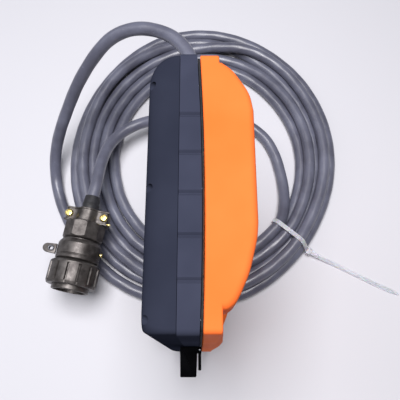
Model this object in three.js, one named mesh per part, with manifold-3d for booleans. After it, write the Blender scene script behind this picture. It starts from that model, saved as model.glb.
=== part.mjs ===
// A hand-held control pendant for an industrial machine, with its coiled cable and round plug.
// The pendant stands on one short end on top of the coil, as it is put down for storage.
//
// X runs from the operator's face (-X) to the rear grips (+X), Y from the hanging clip (-Y) to
// the cable outlet (+Y), and Z along the pendant's width. Millimetres, +Z up. Inside the groups
// below, X = 0 is the seam between bumper band and rear housing, Y = 0 is the middle of the
// cavity, and Z = 0 the middle of the housing. The last lines move everything so that the origin is the middle of the pendant's
// own box, without the cable.
import * as THREE from 'three';
import { mergeVertices } from 'three/addons/utils/BufferGeometryUtils.js';
import Module from 'manifold-3d';

const wasm = await Module();
wasm.setup();

// ---------------------------------------------------------------- driving dimensions
const GAP = 0.3; // left between pieces that touch

const HALF_LENGTH = 81.6; // housing, along Y
const MIDDLE_Y = 1.2; // the housing's middle
const HALF_WIDTH = 136.5; // housing, along Z
const CORNER = 3; // housing corner radius at the seam
const FACE_X = -33; // operator's face
const FACE_WALL = 2.5;
// how far the face's edge is drawn in at the cable end, the clip end and the two sides
const PILLOW = { cable: 11, clip: 2, side: 14, corner: 6 };
const BAND_X = -14; // front edge of the bumper band
const BAND_PROUD = 0.8;
const BAND_THICK = 4;
const SKIRT_INSET = 3.5; // front housing's skirt, inside the band
const GROOVES_Y = [-53.8, -30, -6.2, 17.6, 41.4];
const GROOVE_DEPTH = 1.3;

const CAVITY_HALF_LENGTH = 74;
const CAVITY_HALF_WIDTH = 124;
const SCREW_Z = 129; // case screws run through the thick end walls
const SCREWS_Y = [-73, -0.8, 65];

const SLAB_X = 9.6; // rear housing's back edge
const CROWN_X = 13.8; // rear housing's flat back, in the middle
const GRIP_X = 29.6; // crest of the rear grips
const GRIP_WIDE = 30;
const GRIP_INNER_Z = HALF_WIDTH - GRIP_WIDE;
const BAR_HALF = 33.5; // enabling bar, along Y
const BAR_X = [12.3, 22.2];
const BAR_PROUD = 3;

const WINDOW = { y: -11, z: 18, high: 98.4, wide: 164.4 };
const SCREEN = { high: 88, wide: 154 };
const ESTOP = { y: -44, z: -98 };
const SELECTOR = { y: -3, z: -98 };
const KEY = { high: 11, wide: 14, corner: 2.5, proud: 1.6 };
const SOFT_KEYS = [78, 48, 18, -12, -42].map((z) => ({ y: 53, z }));
const JOG_KEYS = [20, 37, 54].flatMap((y) => [-88, -108].map((z) => ({ y, z })));

const TONGUE_X = [-16.5, -4.1]; // hanging clip: fixed tongue
const TONGUE_END_Y = -102.4;
const CLIP_HALF_WIDTH = 16;
const BLADE = { x: -2.2, y: -83.6, thick: 2.2, end: -97.8, half: 13.2 };

const OUTLET_X = -8; // cable outlet, in the middle of the +Y end
const GLAND_R = 4.7; // gland's tube through the housing wall
const CORD_R = 6.5;
const RELIEF_END_Y = 145;

const COIL_HIGH = 26; // two layers of cable
const FLOOR_Z = -HALF_WIDTH - BAND_PROUD - GAP - COIL_HIGH;
const COIL_MIDDLE = [-1, 145];
const COIL_OUTER = [163.5, 187.5];
const COIL_INNER = [103, 121];
const TIE_ANGLE = -0.71; // where the cable tie draws the coil in, radians
const TIE = { x: 100.1, y: 45.2, half: 24, wide: 4.8, thick: 1.2, slope: -0.681 };
const TIE_TAIL = { length: 112, turn: 0.23 };

const PLUG_FRONT = [-134, -23, 52.6]; // mating end: x, y and height above the floor
const PLUG_TURN = -0.169; // plug axis, turned from +Y about Z, radians
const BOOT_END = 102; // plug's length, mating end to boot

// ---------------------------------------------------------------- materials
function material(color, roughness, metalness = 0) {
  return new THREE.MeshStandardMaterial({ color, roughness, metalness });
}
const charcoal = material(0x4b4d5c, 0.55);
const bandPlastic = material(0x55576a, 0.6);
const orange = material(0xf5883a, 0.45);
const rubber = material(0x14141a, 0.8);
const blackPlastic = material(0x18181c, 0.5);
const glass = material(0x10141c, 0.08);
const screenGlass = material(0x2c3a44, 0.2);
const boardGreen = material(0x1f5a36, 0.6);
const red = material(0xc4161c, 0.35);
const yellow = material(0xf2c41a, 0.45);
const keyGrey = material(0xc9cbd2, 0.6);
const steel = material(0x9a9ca2, 0.35, 0.9);
const cableGrey = material(0x82828f, 0.55);
const olive = material(0x5a524a, 0.4, 0.6);
const brass = material(0xd8c46a, 0.35, 0.9);
const nylon = material(0xcdd2e0, 0.4);
const insertBlack = material(0x1d1d20, 0.6);

// ---------------------------------------------------------------- solids
function toSolid(geometry) {
  const bare = geometry.clone();
  bare.deleteAttribute('normal');
  bare.deleteAttribute('uv');
  const merged = mergeVertices(bare, 1e-4);
  return new wasm.Manifold(new wasm.Mesh({
    numProp: 3,
    vertProperties: new Float32Array(merged.attributes.position.array),
    triVerts: new Uint32Array(merged.index.array),
  }));
}

function toGeometry(solid) {
  const mesh = solid.getMesh();
  const geometry = new THREE.BufferGeometry();
  geometry.setAttribute('position', new THREE.BufferAttribute(mesh.vertProperties, 3));
  geometry.setIndex(new THREE.BufferAttribute(mesh.triVerts, 1));
  geometry.computeVertexNormals();
  return geometry;
}

function join(first, ...others) {
  return toGeometry(others.reduce((sum, piece) => sum.add(toSolid(piece)), toSolid(first)));
}

function cut(body, ...tools) {
  return toGeometry(tools.reduce((rest, tool) => rest.subtract(toSolid(tool)), toSolid(body)));
}

function block([x0, x1], [y0, y1], [z0, z1]) {
  const box = new THREE.BoxGeometry(x1 - x0, y1 - y0, z1 - z0);
  return box.translate((x0 + x1) / 2, (y0 + y1) / 2, (z0 + z1) / 2);
}

// a round bar or a prism along X
function barX(radius, [x0, x1], y, z, sides = 24) {
  const bar = new THREE.CylinderGeometry(radius, radius, x1 - x0, sides);
  return bar.rotateZ(Math.PI / 2).translate((x0 + x1) / 2, y, z);
}

function barZ(radius, [z0, z1], x, y, sides = 16) {
  const bar = new THREE.CylinderGeometry(radius, radius, z1 - z0, sides);
  return bar.rotateX(Math.PI / 2).translate(x, y, (z0 + z1) / 2);
}

// a turned piece along Y from a closed or axis-to-axis profile of [radius, y]
function turned(profile, sides = 32) {
  return new THREE.LatheGeometry(profile.map(([r, y]) => new THREE.Vector2(r, y)), sides);
}

// the same, with its axis along X and its profile given as [radius, x]
function turnedX(profile, y, z, sides = 32) {
  return turned(profile, sides).rotateZ(-Math.PI / 2).translate(0, y, z);
}

// corner points of a rounded rectangle around the X axis, as [y, z]
function roundedOutline(halfY, halfZ, radius, steps = 4) {
  const points = [];
  for (let corner = 0; corner < 4; corner += 1) {
    const signY = corner === 0 || corner === 3 ? 1 : -1;
    const signZ = corner < 2 ? 1 : -1;
    for (let step = 0; step <= steps; step += 1) {
      const angle = (corner + step / steps) * Math.PI / 2;
      points.push([
        signY * (halfY - radius) + radius * Math.cos(angle),
        signZ * (halfZ - radius) + radius * Math.sin(angle),
      ]);
    }
  }
  return points;
}

// a solid whose section at each x is a rounded rectangle; levels are
// [x, halfY, halfZ, radius, middleY]
function loft(levels) {
  const rings = levels.map(([x, halfY, halfZ, radius, middle = 0]) => (
    roundedOutline(halfY, halfZ, radius).map(([y, z]) => [x, y + middle, z])));
  const count = rings[0].length;
  const index = [];
  for (let ring = 0; ring + 1 < rings.length; ring += 1) {
    for (let i = 0; i < count; i += 1) {
      const next = (i + 1) % count;
      const [a, b] = [ring * count + i, ring * count + next];
      index.push(a, b, b + count, a, b + count, a + count);
    }
  }
  const last = (rings.length - 1) * count;
  for (let i = 1; i + 1 < count; i += 1) {
    index.push(0, i + 1, i);
    index.push(last, last + i, last + i + 1);
  }
  const geometry = new THREE.BufferGeometry();
  geometry.setAttribute('position', new THREE.Float32BufferAttribute(rings.flat(2), 3));
  geometry.setIndex(index);
  geometry.computeVertexNormals();
  return geometry;
}

function plate([x0, x1], halfY, halfZ, radius) {
  return loft([[x0, halfY, halfZ, radius], [x1, halfY, halfZ, radius]]);
}

function frame(span, outerY, outerZ, wall, radius) {
  const hole = plate([span[0] - 1, span[1] + 1], outerY - wall, outerZ - wall, radius - 2);
  return cut(plate(span, outerY, outerZ, radius), hole);
}

const pendant = new THREE.Group();
const cable = new THREE.Group();
const plug = new THREE.Group();
cable.add(plug);

function add(name, geometry, surface, parent = pendant) {
  const mesh = new THREE.Mesh(geometry, surface);
  mesh.name = name;
  parent.add(mesh);
  return mesh;
}

// ---------------------------------------------------------------- front housing
function pillowLevels(steps = 6) {
  const levels = [];
  for (let step = 0; step <= steps; step += 1) {
    const angle = (1 - step / steps) * Math.PI / 2;
    const share = 1 - Math.cos(angle);
    const [cable, clip] = [HALF_LENGTH - PILLOW.cable * share, HALF_LENGTH - PILLOW.clip * share];
    levels.push([
      BAND_X + (FACE_X - BAND_X) * Math.sin(angle),
      (cable + clip) / 2,
      HALF_WIDTH - PILLOW.side * share,
      CORNER + PILLOW.corner * share,
      MIDDLE_Y + (cable - clip) / 2,
    ]);
  }
  return levels;
}

function keyBlock(key, grow, span) {
  const shape = plate(span, KEY.high / 2 + grow, KEY.wide / 2 + grow, KEY.corner);
  return shape.translate(0, key.y, key.z);
}

function outletHole() {
  const hole = new THREE.CylinderGeometry(GLAND_R + GAP, GLAND_R + GAP, 16, 20);
  return hole.translate(OUTLET_X, HALF_LENGTH + MIDDLE_Y - 2, 0);
}

function frontHousing() {
  const skirtEnd = -0.9;
  const skirt = plate([BAND_X - 2, skirtEnd], HALF_LENGTH - SKIRT_INSET,
    HALF_WIDTH - SKIRT_INSET, CORNER).translate(0, MIDDLE_Y, 0);
  const inside = FACE_X + FACE_WALL;
  const cavity = loft([
    [inside, CAVITY_HALF_LENGTH - 10, CAVITY_HALF_WIDTH - 6, CORNER],
    [inside + 8.5, CAVITY_HALF_LENGTH, CAVITY_HALF_WIDTH, CORNER],
    [1, CAVITY_HALF_LENGTH, CAVITY_HALF_WIDTH, CORNER],
  ]);
  const through = [FACE_X - 1, inside + 1];
  const recess = plate([FACE_X - 1, FACE_X + 1.8], WINDOW.high / 2 + GAP,
    WINDOW.wide / 2 + GAP, 3).translate(0, WINDOW.y, WINDOW.z);
  const opening = plate(through, SCREEN.high / 2, SCREEN.wide / 2, 2);
  const holes = [
    recess,
    opening.translate(0, WINDOW.y, WINDOW.z),
    barX(11.3, through, ESTOP.y, ESTOP.z),
    barX(8.3, through, SELECTOR.y, SELECTOR.z),
    outletHole(),
  ];
  [...SOFT_KEYS, ...JOG_KEYS].forEach((key) => holes.push(keyBlock(key, GAP, through)));
  [-1, 1].forEach((side) => SCREWS_Y.forEach((y) => {
    holes.push(barX(2.7, [FACE_X - 1, -24], y, side * SCREW_Z, 16));
    holes.push(barX(1.7, [-25, 0], y, side * SCREW_Z, 12));
  }));
  return cut(join(loft(pillowLevels()), skirt), cavity, ...holes);
}
add('front_housing', frontHousing(), charcoal);

// ---------------------------------------------------------------- bumper band and gasket
function bumperBand() {
  const halfY = HALF_LENGTH + BAND_PROUD;
  const halfZ = HALF_WIDTH + BAND_PROUD;
  const ring = frame([BAND_X + GAP, -0.9], halfY, halfZ, BAND_THICK, CORNER + BAND_PROUD)
    .translate(0, MIDDLE_Y, 0);
  const grooves = GROOVES_Y.flatMap((y) => [-1, 1].map((side) => (
    barX(GROOVE_DEPTH, [BAND_X, 0], y, side * halfZ, 4))));
  return cut(ring, outletHole(), ...grooves);
}
add('bumper_band', bumperBand(), bandPlastic);
const gasket = frame([-0.6, 0.6], HALF_LENGTH - 1.2, HALF_WIDTH - 1.2, 3, CORNER);
add('case_gasket', gasket.translate(0, MIDDLE_Y, 0), rubber);

// ---------------------------------------------------------------- rear housing
// side view of a grip: the finger slope towards the clip, the crest and the palm slope
function gripShape() {
  const shape = new THREE.Shape();
  const base = 3;
  shape.moveTo(base, -68.4);
  shape.lineTo(11, -68.2);
  shape.lineTo(19.4, -59.5);
  shape.splineThru([[23.8, -49.3], [26.4, -40], [28.7, -30.3], [GRIP_X, -22]]
    .map(([x, y]) => new THREE.Vector2(x, y)));
  shape.lineTo(GRIP_X, 46);
  shape.splineThru([[27.2, 56.5], [22.9, 64.8], [17.2, 73.2], [11.2, 78.2]]
    .map(([x, y]) => new THREE.Vector2(x, y)));
  shape.lineTo(base, 78.2);
  shape.closePath();
  return shape;
}

function grip(side) {
  const edge = 4;
  const body = new THREE.ExtrudeGeometry(gripShape(), {
    depth: GRIP_WIDE - 2 * edge,
    curveSegments: 8,
    bevelThickness: edge,
    bevelSize: edge,
    bevelOffset: -edge,
    bevelSegments: 3,
  });
  const start = side > 0 ? GRIP_INNER_Z + edge : -HALF_WIDTH + edge;
  return body.translate(0, 0, start);
}

// a span along Z measured outwards from the middle, on either side of the pendant
function sideSpan(side, inner, outer) {
  return side > 0 ? [inner, outer] : [-outer, -inner];
}

function rearHousing() {
  const start = 0.9;
  const slab = loft([
    [start, HALF_LENGTH, HALF_WIDTH, CORNER],
    [SLAB_X - 1.2, HALF_LENGTH, HALF_WIDTH, CORNER],
    [SLAB_X, HALF_LENGTH - 1, HALF_WIDTH - 1, CORNER - 0.5],
    [(SLAB_X + CROWN_X) / 2, HALF_LENGTH - 1.2, HALF_WIDTH - 52, CORNER - 0.5],
    [CROWN_X, HALF_LENGTH - 1.4, HALF_WIDTH - 104, CORNER - 0.5],
  ]).translate(0, MIDDLE_Y, 0);
  const cavity = plate([0, SLAB_X - FACE_WALL], CAVITY_HALF_LENGTH, CAVITY_HALF_WIDTH, CORNER);
  const holes = [-1, 1].flatMap((side) => [
    block([0, 22.5], [-37, 44], sideSpan(side, GRIP_INNER_Z + 3, CAVITY_HALF_WIDTH)),
    block([BAR_X[0] - GAP, BAR_X[1] + GAP], [-BAR_HALF - GAP, BAR_HALF + GAP],
      sideSpan(side, GRIP_INNER_Z - 1, GRIP_INNER_Z + 4)),
    ...SCREWS_Y.map((y) => barX(1.7, [0, 7], y, side * SCREW_Z, 12)),
  ]);
  return cut(join(slab, grip(-1), grip(1)), cavity, ...holes);
}
add('rear_housing', rearHousing(), orange);

function caseScrew(y, z) {
  const [under, tip] = [-24.3, 6.5];
  return turnedX([[0, -27], [2.3, -27], [2.4, under], [1.4, under], [1.4, tip], [0, tip]], y, z, 16);
}
[1, -1].forEach((side) => SCREWS_Y.forEach((y, i) => (
  add(`case_screw_${side > 0 ? 'near' : 'far'}_${i + 1}`, caseScrew(y, side * SCREW_Z), steel))));

// ---------------------------------------------------------------- display and boards
const windowPlate = plate([FACE_X + 0.1, FACE_X + 1.5], WINDOW.high / 2, WINDOW.wide / 2, 3);
add('display_window', windowPlate.translate(0, WINDOW.y, WINDOW.z), glass);
add('lcd_panel', plate([-30.1, -25.9], 45, 78, 2.5).translate(0, WINDOW.y, WINDOW.z), screenGlass);
add('main_board', block([-12, -10.4], [-68, 68], [-66, 118]), boardGreen);
add('key_board', join(
  block([-27.2, -25.6], [44, 63], [-70, 96]),
  block([-27.2, -25.6], [12, 63], [-117, -69]),
), boardGreen);

// ---------------------------------------------------------------- operator's controls
add('estop_collar', turnedX([
  [6.4, -35.5], [15, -35.5], [19, -34.6], [19, -33.3], [11, -33.3], [11, -25.3], [6.4, -25.3],
  [6.4, -35.5],
], ESTOP.y, ESTOP.z), yellow);
add('estop_stem', barX(6, [-42, -26], ESTOP.y, ESTOP.z), blackPlastic);
add('estop_head', turnedX([
  [0, -53], [9, -52.2], [14, -50.3], [16, -47.6], [16, -43.6], [14.5, -42.3], [0, -42.3],
], ESTOP.y, ESTOP.z), red);
add('estop_contacts', block([-21, -1], [ESTOP.y - 13, ESTOP.y + 13], [ESTOP.z - 13, ESTOP.z + 13]),
  blackPlastic);

add('selector_bezel', turnedX([
  [4.4, -35], [12, -35], [13, -33.3], [8, -33.3], [8, -26], [4.4, -26], [4.4, -35],
], SELECTOR.y, SELECTOR.z), blackPlastic);
const knobTurned = turnedX([
  [0, -38.5], [9, -38.5], [10, -35.3], [4, -35.3], [4, -26.3], [0, -26.3],
], SELECTOR.y, SELECTOR.z);
const knobGrip = block([-45.5, -37], [SELECTOR.y - 9, SELECTOR.y + 9],
  [SELECTOR.z - 3, SELECTOR.z + 3]);
add('selector_knob', join(knobTurned, knobGrip), blackPlastic);
add('selector_contacts', block([-25.7, -5], [SELECTOR.y - 10, SELECTOR.y + 10],
  [SELECTOR.z - 10, SELECTOR.z + 10]), blackPlastic);

function keyCap(key) {
  const cap = keyBlock(key, 0, [FACE_X - KEY.proud, -29]);
  return join(cap, keyBlock(key, 1.5, [-30.2, -28.8]));
}
SOFT_KEYS.forEach((key, i) => add(`soft_key_${i + 1}`, keyCap(key), keyGrey));
JOG_KEYS.forEach((key, i) => add(`jog_key_${i + 1}`, keyCap(key), keyGrey));

// ---------------------------------------------------------------- enabling bars in the grips
function enablingBar(side) {
  const bar = block(BAR_X, [-BAR_HALF, BAR_HALF],
    sideSpan(side, GRIP_INNER_Z - BAR_PROUD, GRIP_INNER_Z + 5));
  const flange = block([BAR_X[0] + 1, BAR_X[1] - 1], [-BAR_HALF - 2, BAR_HALF + 2],
    sideSpan(side, GRIP_INNER_Z + 3.3, GRIP_INNER_Z + 5));
  return join(bar, flange);
}

function enablingSwitch(side) {
  return block([8, 20], [-12, 12], sideSpan(side, GRIP_INNER_Z + 8.2, CAVITY_HALF_WIDTH - GAP));
}
[['near', 1], ['far', -1]].forEach(([place, side]) => {
  add(`enabling_bar_${place}`, enablingBar(side), blackPlastic);
  add(`enabling_switch_${place}`, enablingSwitch(side), blackPlastic);
});

// ---------------------------------------------------------------- hanging clip
function hangingTongue() {
  const foot = MIDDLE_Y - HALF_LENGTH - BAND_PROUD - GAP;
  const tongue = block(TONGUE_X, [TONGUE_END_Y, foot], [-CLIP_HALF_WIDTH, CLIP_HALF_WIDTH]);
  const ears = [-1, 1].map((side) => cut(
    block([TONGUE_X[1] - 1, -0.9], [BLADE.y - 1.8, foot], sideSpan(side, 13.6, CLIP_HALF_WIDTH)),
    barZ(1, [-20, 20], BLADE.x, BLADE.y),
  ));
  return join(tongue, ...ears);
}

function clipBlade() {
  const knuckle = barZ(1.5, [-BLADE.half, BLADE.half], BLADE.x, BLADE.y);
  const blade = block([BLADE.x - BLADE.thick / 2, BLADE.x + BLADE.thick / 2],
    [BLADE.end, BLADE.y], [-BLADE.half, BLADE.half]);
  return cut(join(blade, knuckle), barZ(1, [-20, 20], BLADE.x, BLADE.y));
}
add('hanging_tongue', hangingTongue(), blackPlastic);
add('clip_blade', clipBlade(), blackPlastic);
add('clip_pin', barZ(0.7, [-15.8, 15.8], BLADE.x, BLADE.y, 12), steel);

// ---------------------------------------------------------------- cable outlet
const outletFoot = MIDDLE_Y + HALF_LENGTH + BAND_PROUD + GAP;
add('gland_body', turned([
  [0, 72], [GLAND_R, 72], [GLAND_R, outletFoot], [12, outletFoot], [12, 87.3], [0, 87.3],
]).translate(OUTLET_X, 0, 0), blackPlastic);
const nut = new THREE.CylinderGeometry(12.5, 12.5, 11, 6);
add('gland_nut', nut.translate(OUTLET_X, 93.1, 0), blackPlastic);
add('strain_relief', turned([
  [0, 98.9], [9.8, 98.9], [9.6, 104], [7.6, RELIEF_END_Y], [0, RELIEF_END_Y],
]).translate(OUTLET_X, 0, 0), rubber, cable);

// ---------------------------------------------------------------- cable
function cord(route, steps) {
  const section = new THREE.Shape();
  section.absarc(0, 0, CORD_R, 0, 2 * Math.PI);
  const path = new THREE.CatmullRomCurve3(route.map((point) => new THREE.Vector3(...point)));
  return new THREE.ExtrudeGeometry(section, { curveSegments: 5, steps, extrudePath: path });
}

// from the strain relief over in a high arch, down to the floor and along the coil's left side
const EXIT_ROUTE = [
  [-8, 145.4, 0], [-8, 158, 0], [-11, 177, -1], [-24, 197, -2], [-44, 209, -4], [-66, 213, -7],
  [-89, 210, -17], [-110, 201, -37], [-131, 186, -63], [-149, 168, -92], [-166, 151, -120],
  [-173, 136, -143], [-175.5, 120, -155], [-173.5, 104, -157], [-168, 88, -157],
];
add('cord_exit', cord(EXIT_ROUTE, 22), cableGrey, cable);

// from the plug over the coil's left side, down into its middle and round to its right side
const LEAD_ROUTE = [
  [-116.8, 78.6, -111], [-114.5, 92, -111.6], [-113, 112, -115.5], [-110, 133, -121.5],
  [-104, 150, -127], [-94, 163, -130], [-79, 173.5, -131], [-60, 181.5, -134], [-37, 190, -143],
  [-12, 197.5, -152.5], [14, 201, -157], [38, 199, -157], [57, 192, -157], [73, 182, -157],
  [85, 170.5, -157], [91, 163, -157],
];
add('cord_lead', cord(LEAD_ROUTE, 18), cableGrey, cable);

// coil: an oval ring, drawn in where the tie holds it
function coilOutline([halfX, halfY], pinch, turns = 56) {
  const points = [];
  for (let i = 0; i < turns; i += 1) {
    const angle = 2 * Math.PI * i / turns;
    const away = Math.atan2(Math.sin(angle - TIE_ANGLE), Math.cos(angle - TIE_ANGLE));
    const scale = 1 + pinch * Math.exp(-((away / 0.5) ** 2));
    points.push(new THREE.Vector2(halfX * Math.cos(angle) * scale, halfY * Math.sin(angle) * scale));
  }
  return points;
}

function tieTurned(geometry) {
  return geometry.rotateZ(TIE.slope).translate(TIE.x, TIE.y, FLOOR_Z);
}

function coil() {
  const shape = new THREE.Shape(coilOutline(COIL_OUTER, -0.055));
  shape.holes.push(new THREE.Path(coilOutline(COIL_INNER, 0.08)));
  const ring = new THREE.ExtrudeGeometry(shape, { depth: COIL_HIGH, bevelEnabled: false });
  const channel = block([-60, 60], [-TIE.wide / 2 - GAP, TIE.wide / 2 + GAP], [-1, TIE.thick + GAP]);
  return cut(ring.translate(...COIL_MIDDLE, FLOOR_Z), tieTurned(channel));
}
add('cord_coil', coil(), cableGrey, cable);

function cableTie() {
  const halfWide = TIE.wide / 2;
  const top = COIL_HIGH + GAP;
  const outside = block([-TIE.half - TIE.thick, TIE.half + TIE.thick], [-halfWide, halfWide],
    [0.05, top + TIE.thick]);
  const inside = block([-TIE.half, TIE.half], [-5, 5], [TIE.thick, top]);
  const head = block([TIE.half + 0.5, TIE.half + 6], [-3.8, 3.8], [4, 9.5]);
  const tailBend = block([TIE.half + 5, TIE.half + 7], [-halfWide, halfWide], [0.2, 6]);
  const tail = block([0, TIE_TAIL.length], [-halfWide, halfWide], [0.2, 1.2]);
  tail.rotateZ(TIE_TAIL.turn).translate(TIE.half + 5, 0, 0);
  return tieTurned(join(cut(outside, inside), head, tailBend, tail));
}
add('cable_tie', cableTie(), nylon, cable);

// ---------------------------------------------------------------- plug, built along +Y
// from its mating end at Y = 0
function fluted(outer, depth, count, bore, [y0, y1]) {
  const shape = new THREE.Shape();
  const lobe = 2 * Math.PI / count;
  for (let i = 0; i < count; i += 1) {
    const start = i * lobe;
    const ridge = [0, 0.28, 0.56, 0.84].map((part) => [outer, start + part * lobe]);
    [...ridge, [outer - depth, start + 0.88 * lobe], [outer - depth, start + 0.96 * lobe]]
      .forEach(([r, angle], j) => {
        const [x, y] = [r * Math.cos(angle), r * Math.sin(angle)];
        if (i === 0 && j === 0) shape.moveTo(x, y);
        else shape.lineTo(x, y);
      });
  }
  const hole = new THREE.Path();
  hole.absarc(0, 0, bore, 0, 2 * Math.PI, true);
  shape.holes.push(hole);
  const body = new THREE.ExtrudeGeometry(shape, {
    depth: y1 - y0 - 1.6, curveSegments: 18, bevelThickness: 0.8, bevelSize: 0.8,
    bevelOffset: -0.8, bevelSegments: 1,
  });
  return body.rotateX(-Math.PI / 2).translate(0, y0 + 0.8, 0);
}

add('plug_shell', turned([
  [16.2, 0], [18.2, 0], [18.7, 0.6], [18.7, 31], [16.2, 31], [16.2, 0],
], 40), olive, plug);
add('plug_insert', turned([[0, 4], [15.9, 4], [15.9, 30], [0, 30]], 36), insertBlack, plug);
add('plug_coupling_ring', fluted(25.7, 1.1, 14, 19.1, [5, 31.4]), olive, plug);
add('plug_body', turned([
  [12, 31.8], [21, 31.8], [22.3, 33], [22.3, 51], [19.5, 55.2], [12, 55.2], [12, 31.8],
], 40), olive, plug);

function capLug() {
  const shape = new THREE.Shape();
  shape.moveTo(0, -5.5);
  shape.lineTo(9, -5);
  shape.absarc(9, 0, 5, -Math.PI / 2, Math.PI / 2);
  shape.lineTo(0, 5.5);
  shape.closePath();
  const hole = new THREE.Path();
  hole.absarc(5, 0, 2, 0, 2 * Math.PI, true);
  shape.holes.push(hole);
  const lug = new THREE.ExtrudeGeometry(shape, { depth: 3.2, bevelEnabled: false, curveSegments: 8 });
  return lug.rotateZ(Math.PI).translate(-22.6, 42, 3);
}
add('plug_cap_lug', capLug(), olive, plug);
const side = new THREE.CylinderGeometry(2.2, 2.2, 2.6, 16).rotateZ(Math.PI / 2);
add('plug_side_screw', side.translate(24, 43, 3), brass, plug);
const backshell = new THREE.CylinderGeometry(23, 23, 19.4, 10);
const backshellBore = new THREE.CylinderGeometry(11, 11, 30, 24);
add('plug_backshell_nut', cut(backshell, backshellBore).translate(0, 65.9, 0), olive, plug);

// cable clamp: a saddle seat on the backshell, and the bar that the two screws pull down
const CLAMP_Y = [76, 92];
const CLAMP_SCREW_X = 18.5;
function clampHoles(radius) {
  return [-1, 1].map((at) => barZ(radius, [-30, 30], at * CLAMP_SCREW_X, 84, 14));
}
function clampSeat() {
  const seat = block([-22.2, 22.2], CLAMP_Y, [-12, 2]);
  const way = turned([[0, 70], [9, 70], [9, 99], [0, 99]], 24);
  return cut(seat, way, ...clampHoles(1.8));
}
function clampBar() {
  const bar = join(block([-22.2, 22.2], [77.5, 90.5], [2.3, 6]), block([-12, 12], CLAMP_Y, [2.3, 13]));
  const way = turned([[0, 70], [9, 70], [9, 99], [0, 99]], 24);
  return cut(bar, way, ...clampHoles(1.8));
}
function clampScrew(x) {
  const screw = turned([[0, -11], [1.5, -11], [1.5, 6.3], [3.8, 6.3], [3.8, 8], [2.4, 9], [0, 9]], 16);
  return screw.rotateX(Math.PI / 2).translate(x, 84, 0);
}
add('plug_clamp_seat', clampSeat(), olive, plug);
add('plug_clamp_bar', clampBar(), olive, plug);
add('plug_clamp_screw_left', clampScrew(-CLAMP_SCREW_X), brass, plug);
add('plug_clamp_screw_right', clampScrew(CLAMP_SCREW_X), brass, plug);
add('plug_boot', turned([
  [0, 60], [8.6, 60], [8.6, 93], [8, BOOT_END], [0, BOOT_END],
], 28), rubber, plug);

plug.rotation.z = PLUG_TURN;
plug.position.set(PLUG_FRONT[0], PLUG_FRONT[1], FLOOR_Z + PLUG_FRONT[2]);

// ---------------------------------------------------------------- whole station
const middle = new THREE.Box3().setFromObject(pendant).getCenter(new THREE.Vector3());
const group = new THREE.Group();
group.add(pendant, cable);
[pendant, cable].forEach((half) => half.position.copy(middle).negate());

export default group;
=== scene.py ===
# %% [markdown]
# # A hand-held control pendant on its coiled cable
#
# The pendant is a charcoal front shell, a grooved bumper band and an orange rear shell with two
# hand grips. It stands on one short end, on six turns of grey cable held by a nylon tie, and a
# round olive plug lies on the coil. The CAD frame holds the true sizes and every moving joint.
# This notebook makes what the eye sees around that frame: finer meshes, finishes, the cable's
# real turns, the light and the camera.

# %% Load the frame
import bmesh
import bpy
import math
import numpy as np
from mathutils import Matrix, Vector


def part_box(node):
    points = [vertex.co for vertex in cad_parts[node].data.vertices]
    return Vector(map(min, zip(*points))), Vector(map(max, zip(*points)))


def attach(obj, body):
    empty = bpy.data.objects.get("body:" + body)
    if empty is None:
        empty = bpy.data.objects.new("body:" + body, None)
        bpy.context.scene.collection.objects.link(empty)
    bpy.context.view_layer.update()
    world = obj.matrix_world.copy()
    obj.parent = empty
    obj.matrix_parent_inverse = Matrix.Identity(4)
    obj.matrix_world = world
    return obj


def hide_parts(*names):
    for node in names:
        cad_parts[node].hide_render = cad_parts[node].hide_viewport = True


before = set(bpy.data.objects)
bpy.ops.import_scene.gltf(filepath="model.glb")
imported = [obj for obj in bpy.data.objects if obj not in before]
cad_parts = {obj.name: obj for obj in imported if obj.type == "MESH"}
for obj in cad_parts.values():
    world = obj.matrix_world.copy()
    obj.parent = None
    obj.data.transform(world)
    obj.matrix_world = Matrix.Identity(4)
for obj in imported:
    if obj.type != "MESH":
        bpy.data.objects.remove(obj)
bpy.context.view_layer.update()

# %% [markdown]
# The frame's origin is the middle of the pendant's box, which is awkward to draw from. A maker
# would measure from the seam between the bumper band and the rear shell, and from the middle of
# the cavity behind it. So every size below is in millimetres from that point, and one function
# turns it into metres in the frame. The point and the floor's height are read from CAD boxes.

# %% Millimetres from the seam
MM = 0.001
SEAM_GAP = 0.9  # the rear shell starts this far behind the seam
rear_low, rear_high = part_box("rear_housing")
coil_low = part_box("cord_coil")[0]
MIDDLE_Y = 1.2  # the housing's middle, from the cavity's
SEAM = Vector((rear_low.x - SEAM_GAP * MM, (rear_low.y + rear_high.y) / 2 - MIDDLE_Y * MM,
               (rear_low.z + rear_high.z) / 2))
FLOOR = (coil_low.z - SEAM.z) / MM
HALF_LENGTH = (rear_high.y - rear_low.y) / 2 / MM
HALF_WIDTH = (rear_high.z - rear_low.z) / 2 / MM


def place(x, y, z):
    """A point in millimetres from the seam's middle, in the frame's metres."""
    return SEAM + Vector((x, y, z)) * MM


print(f"housing {2 * HALF_LENGTH:.1f} x {2 * HALF_WIDTH:.1f} mm, floor at z = {FLOOR:.1f} mm")

# %% [markdown]
# The camera looks down from above the pendant's end, a little over half a metre up, tilted so
# that the cable side is towards the top. Close up like this, the near end of the pendant looks
# much bigger than the coil below it. The lens is a normal 44 mm one on a 36 mm sensor.

# %% Camera
CAMERA_MM = (-2.0, -96.1, 388.1)
CAMERA_TILT_DEG = 18.85  # from straight down, towards +Y
LENS_MM = 44.28
camera = bpy.data.objects.new("camera", bpy.data.cameras.new("camera"))
bpy.context.scene.collection.objects.link(camera)
camera.location = place(*CAMERA_MM)
camera.rotation_euler = (math.radians(CAMERA_TILT_DEG), 0, 0)
camera.data.lens = LENS_MM
camera.data.clip_start = 0.01
bpy.context.scene.camera = camera
print("camera", CAMERA_MM[2] - FLOOR, "mm above the floor")

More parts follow.
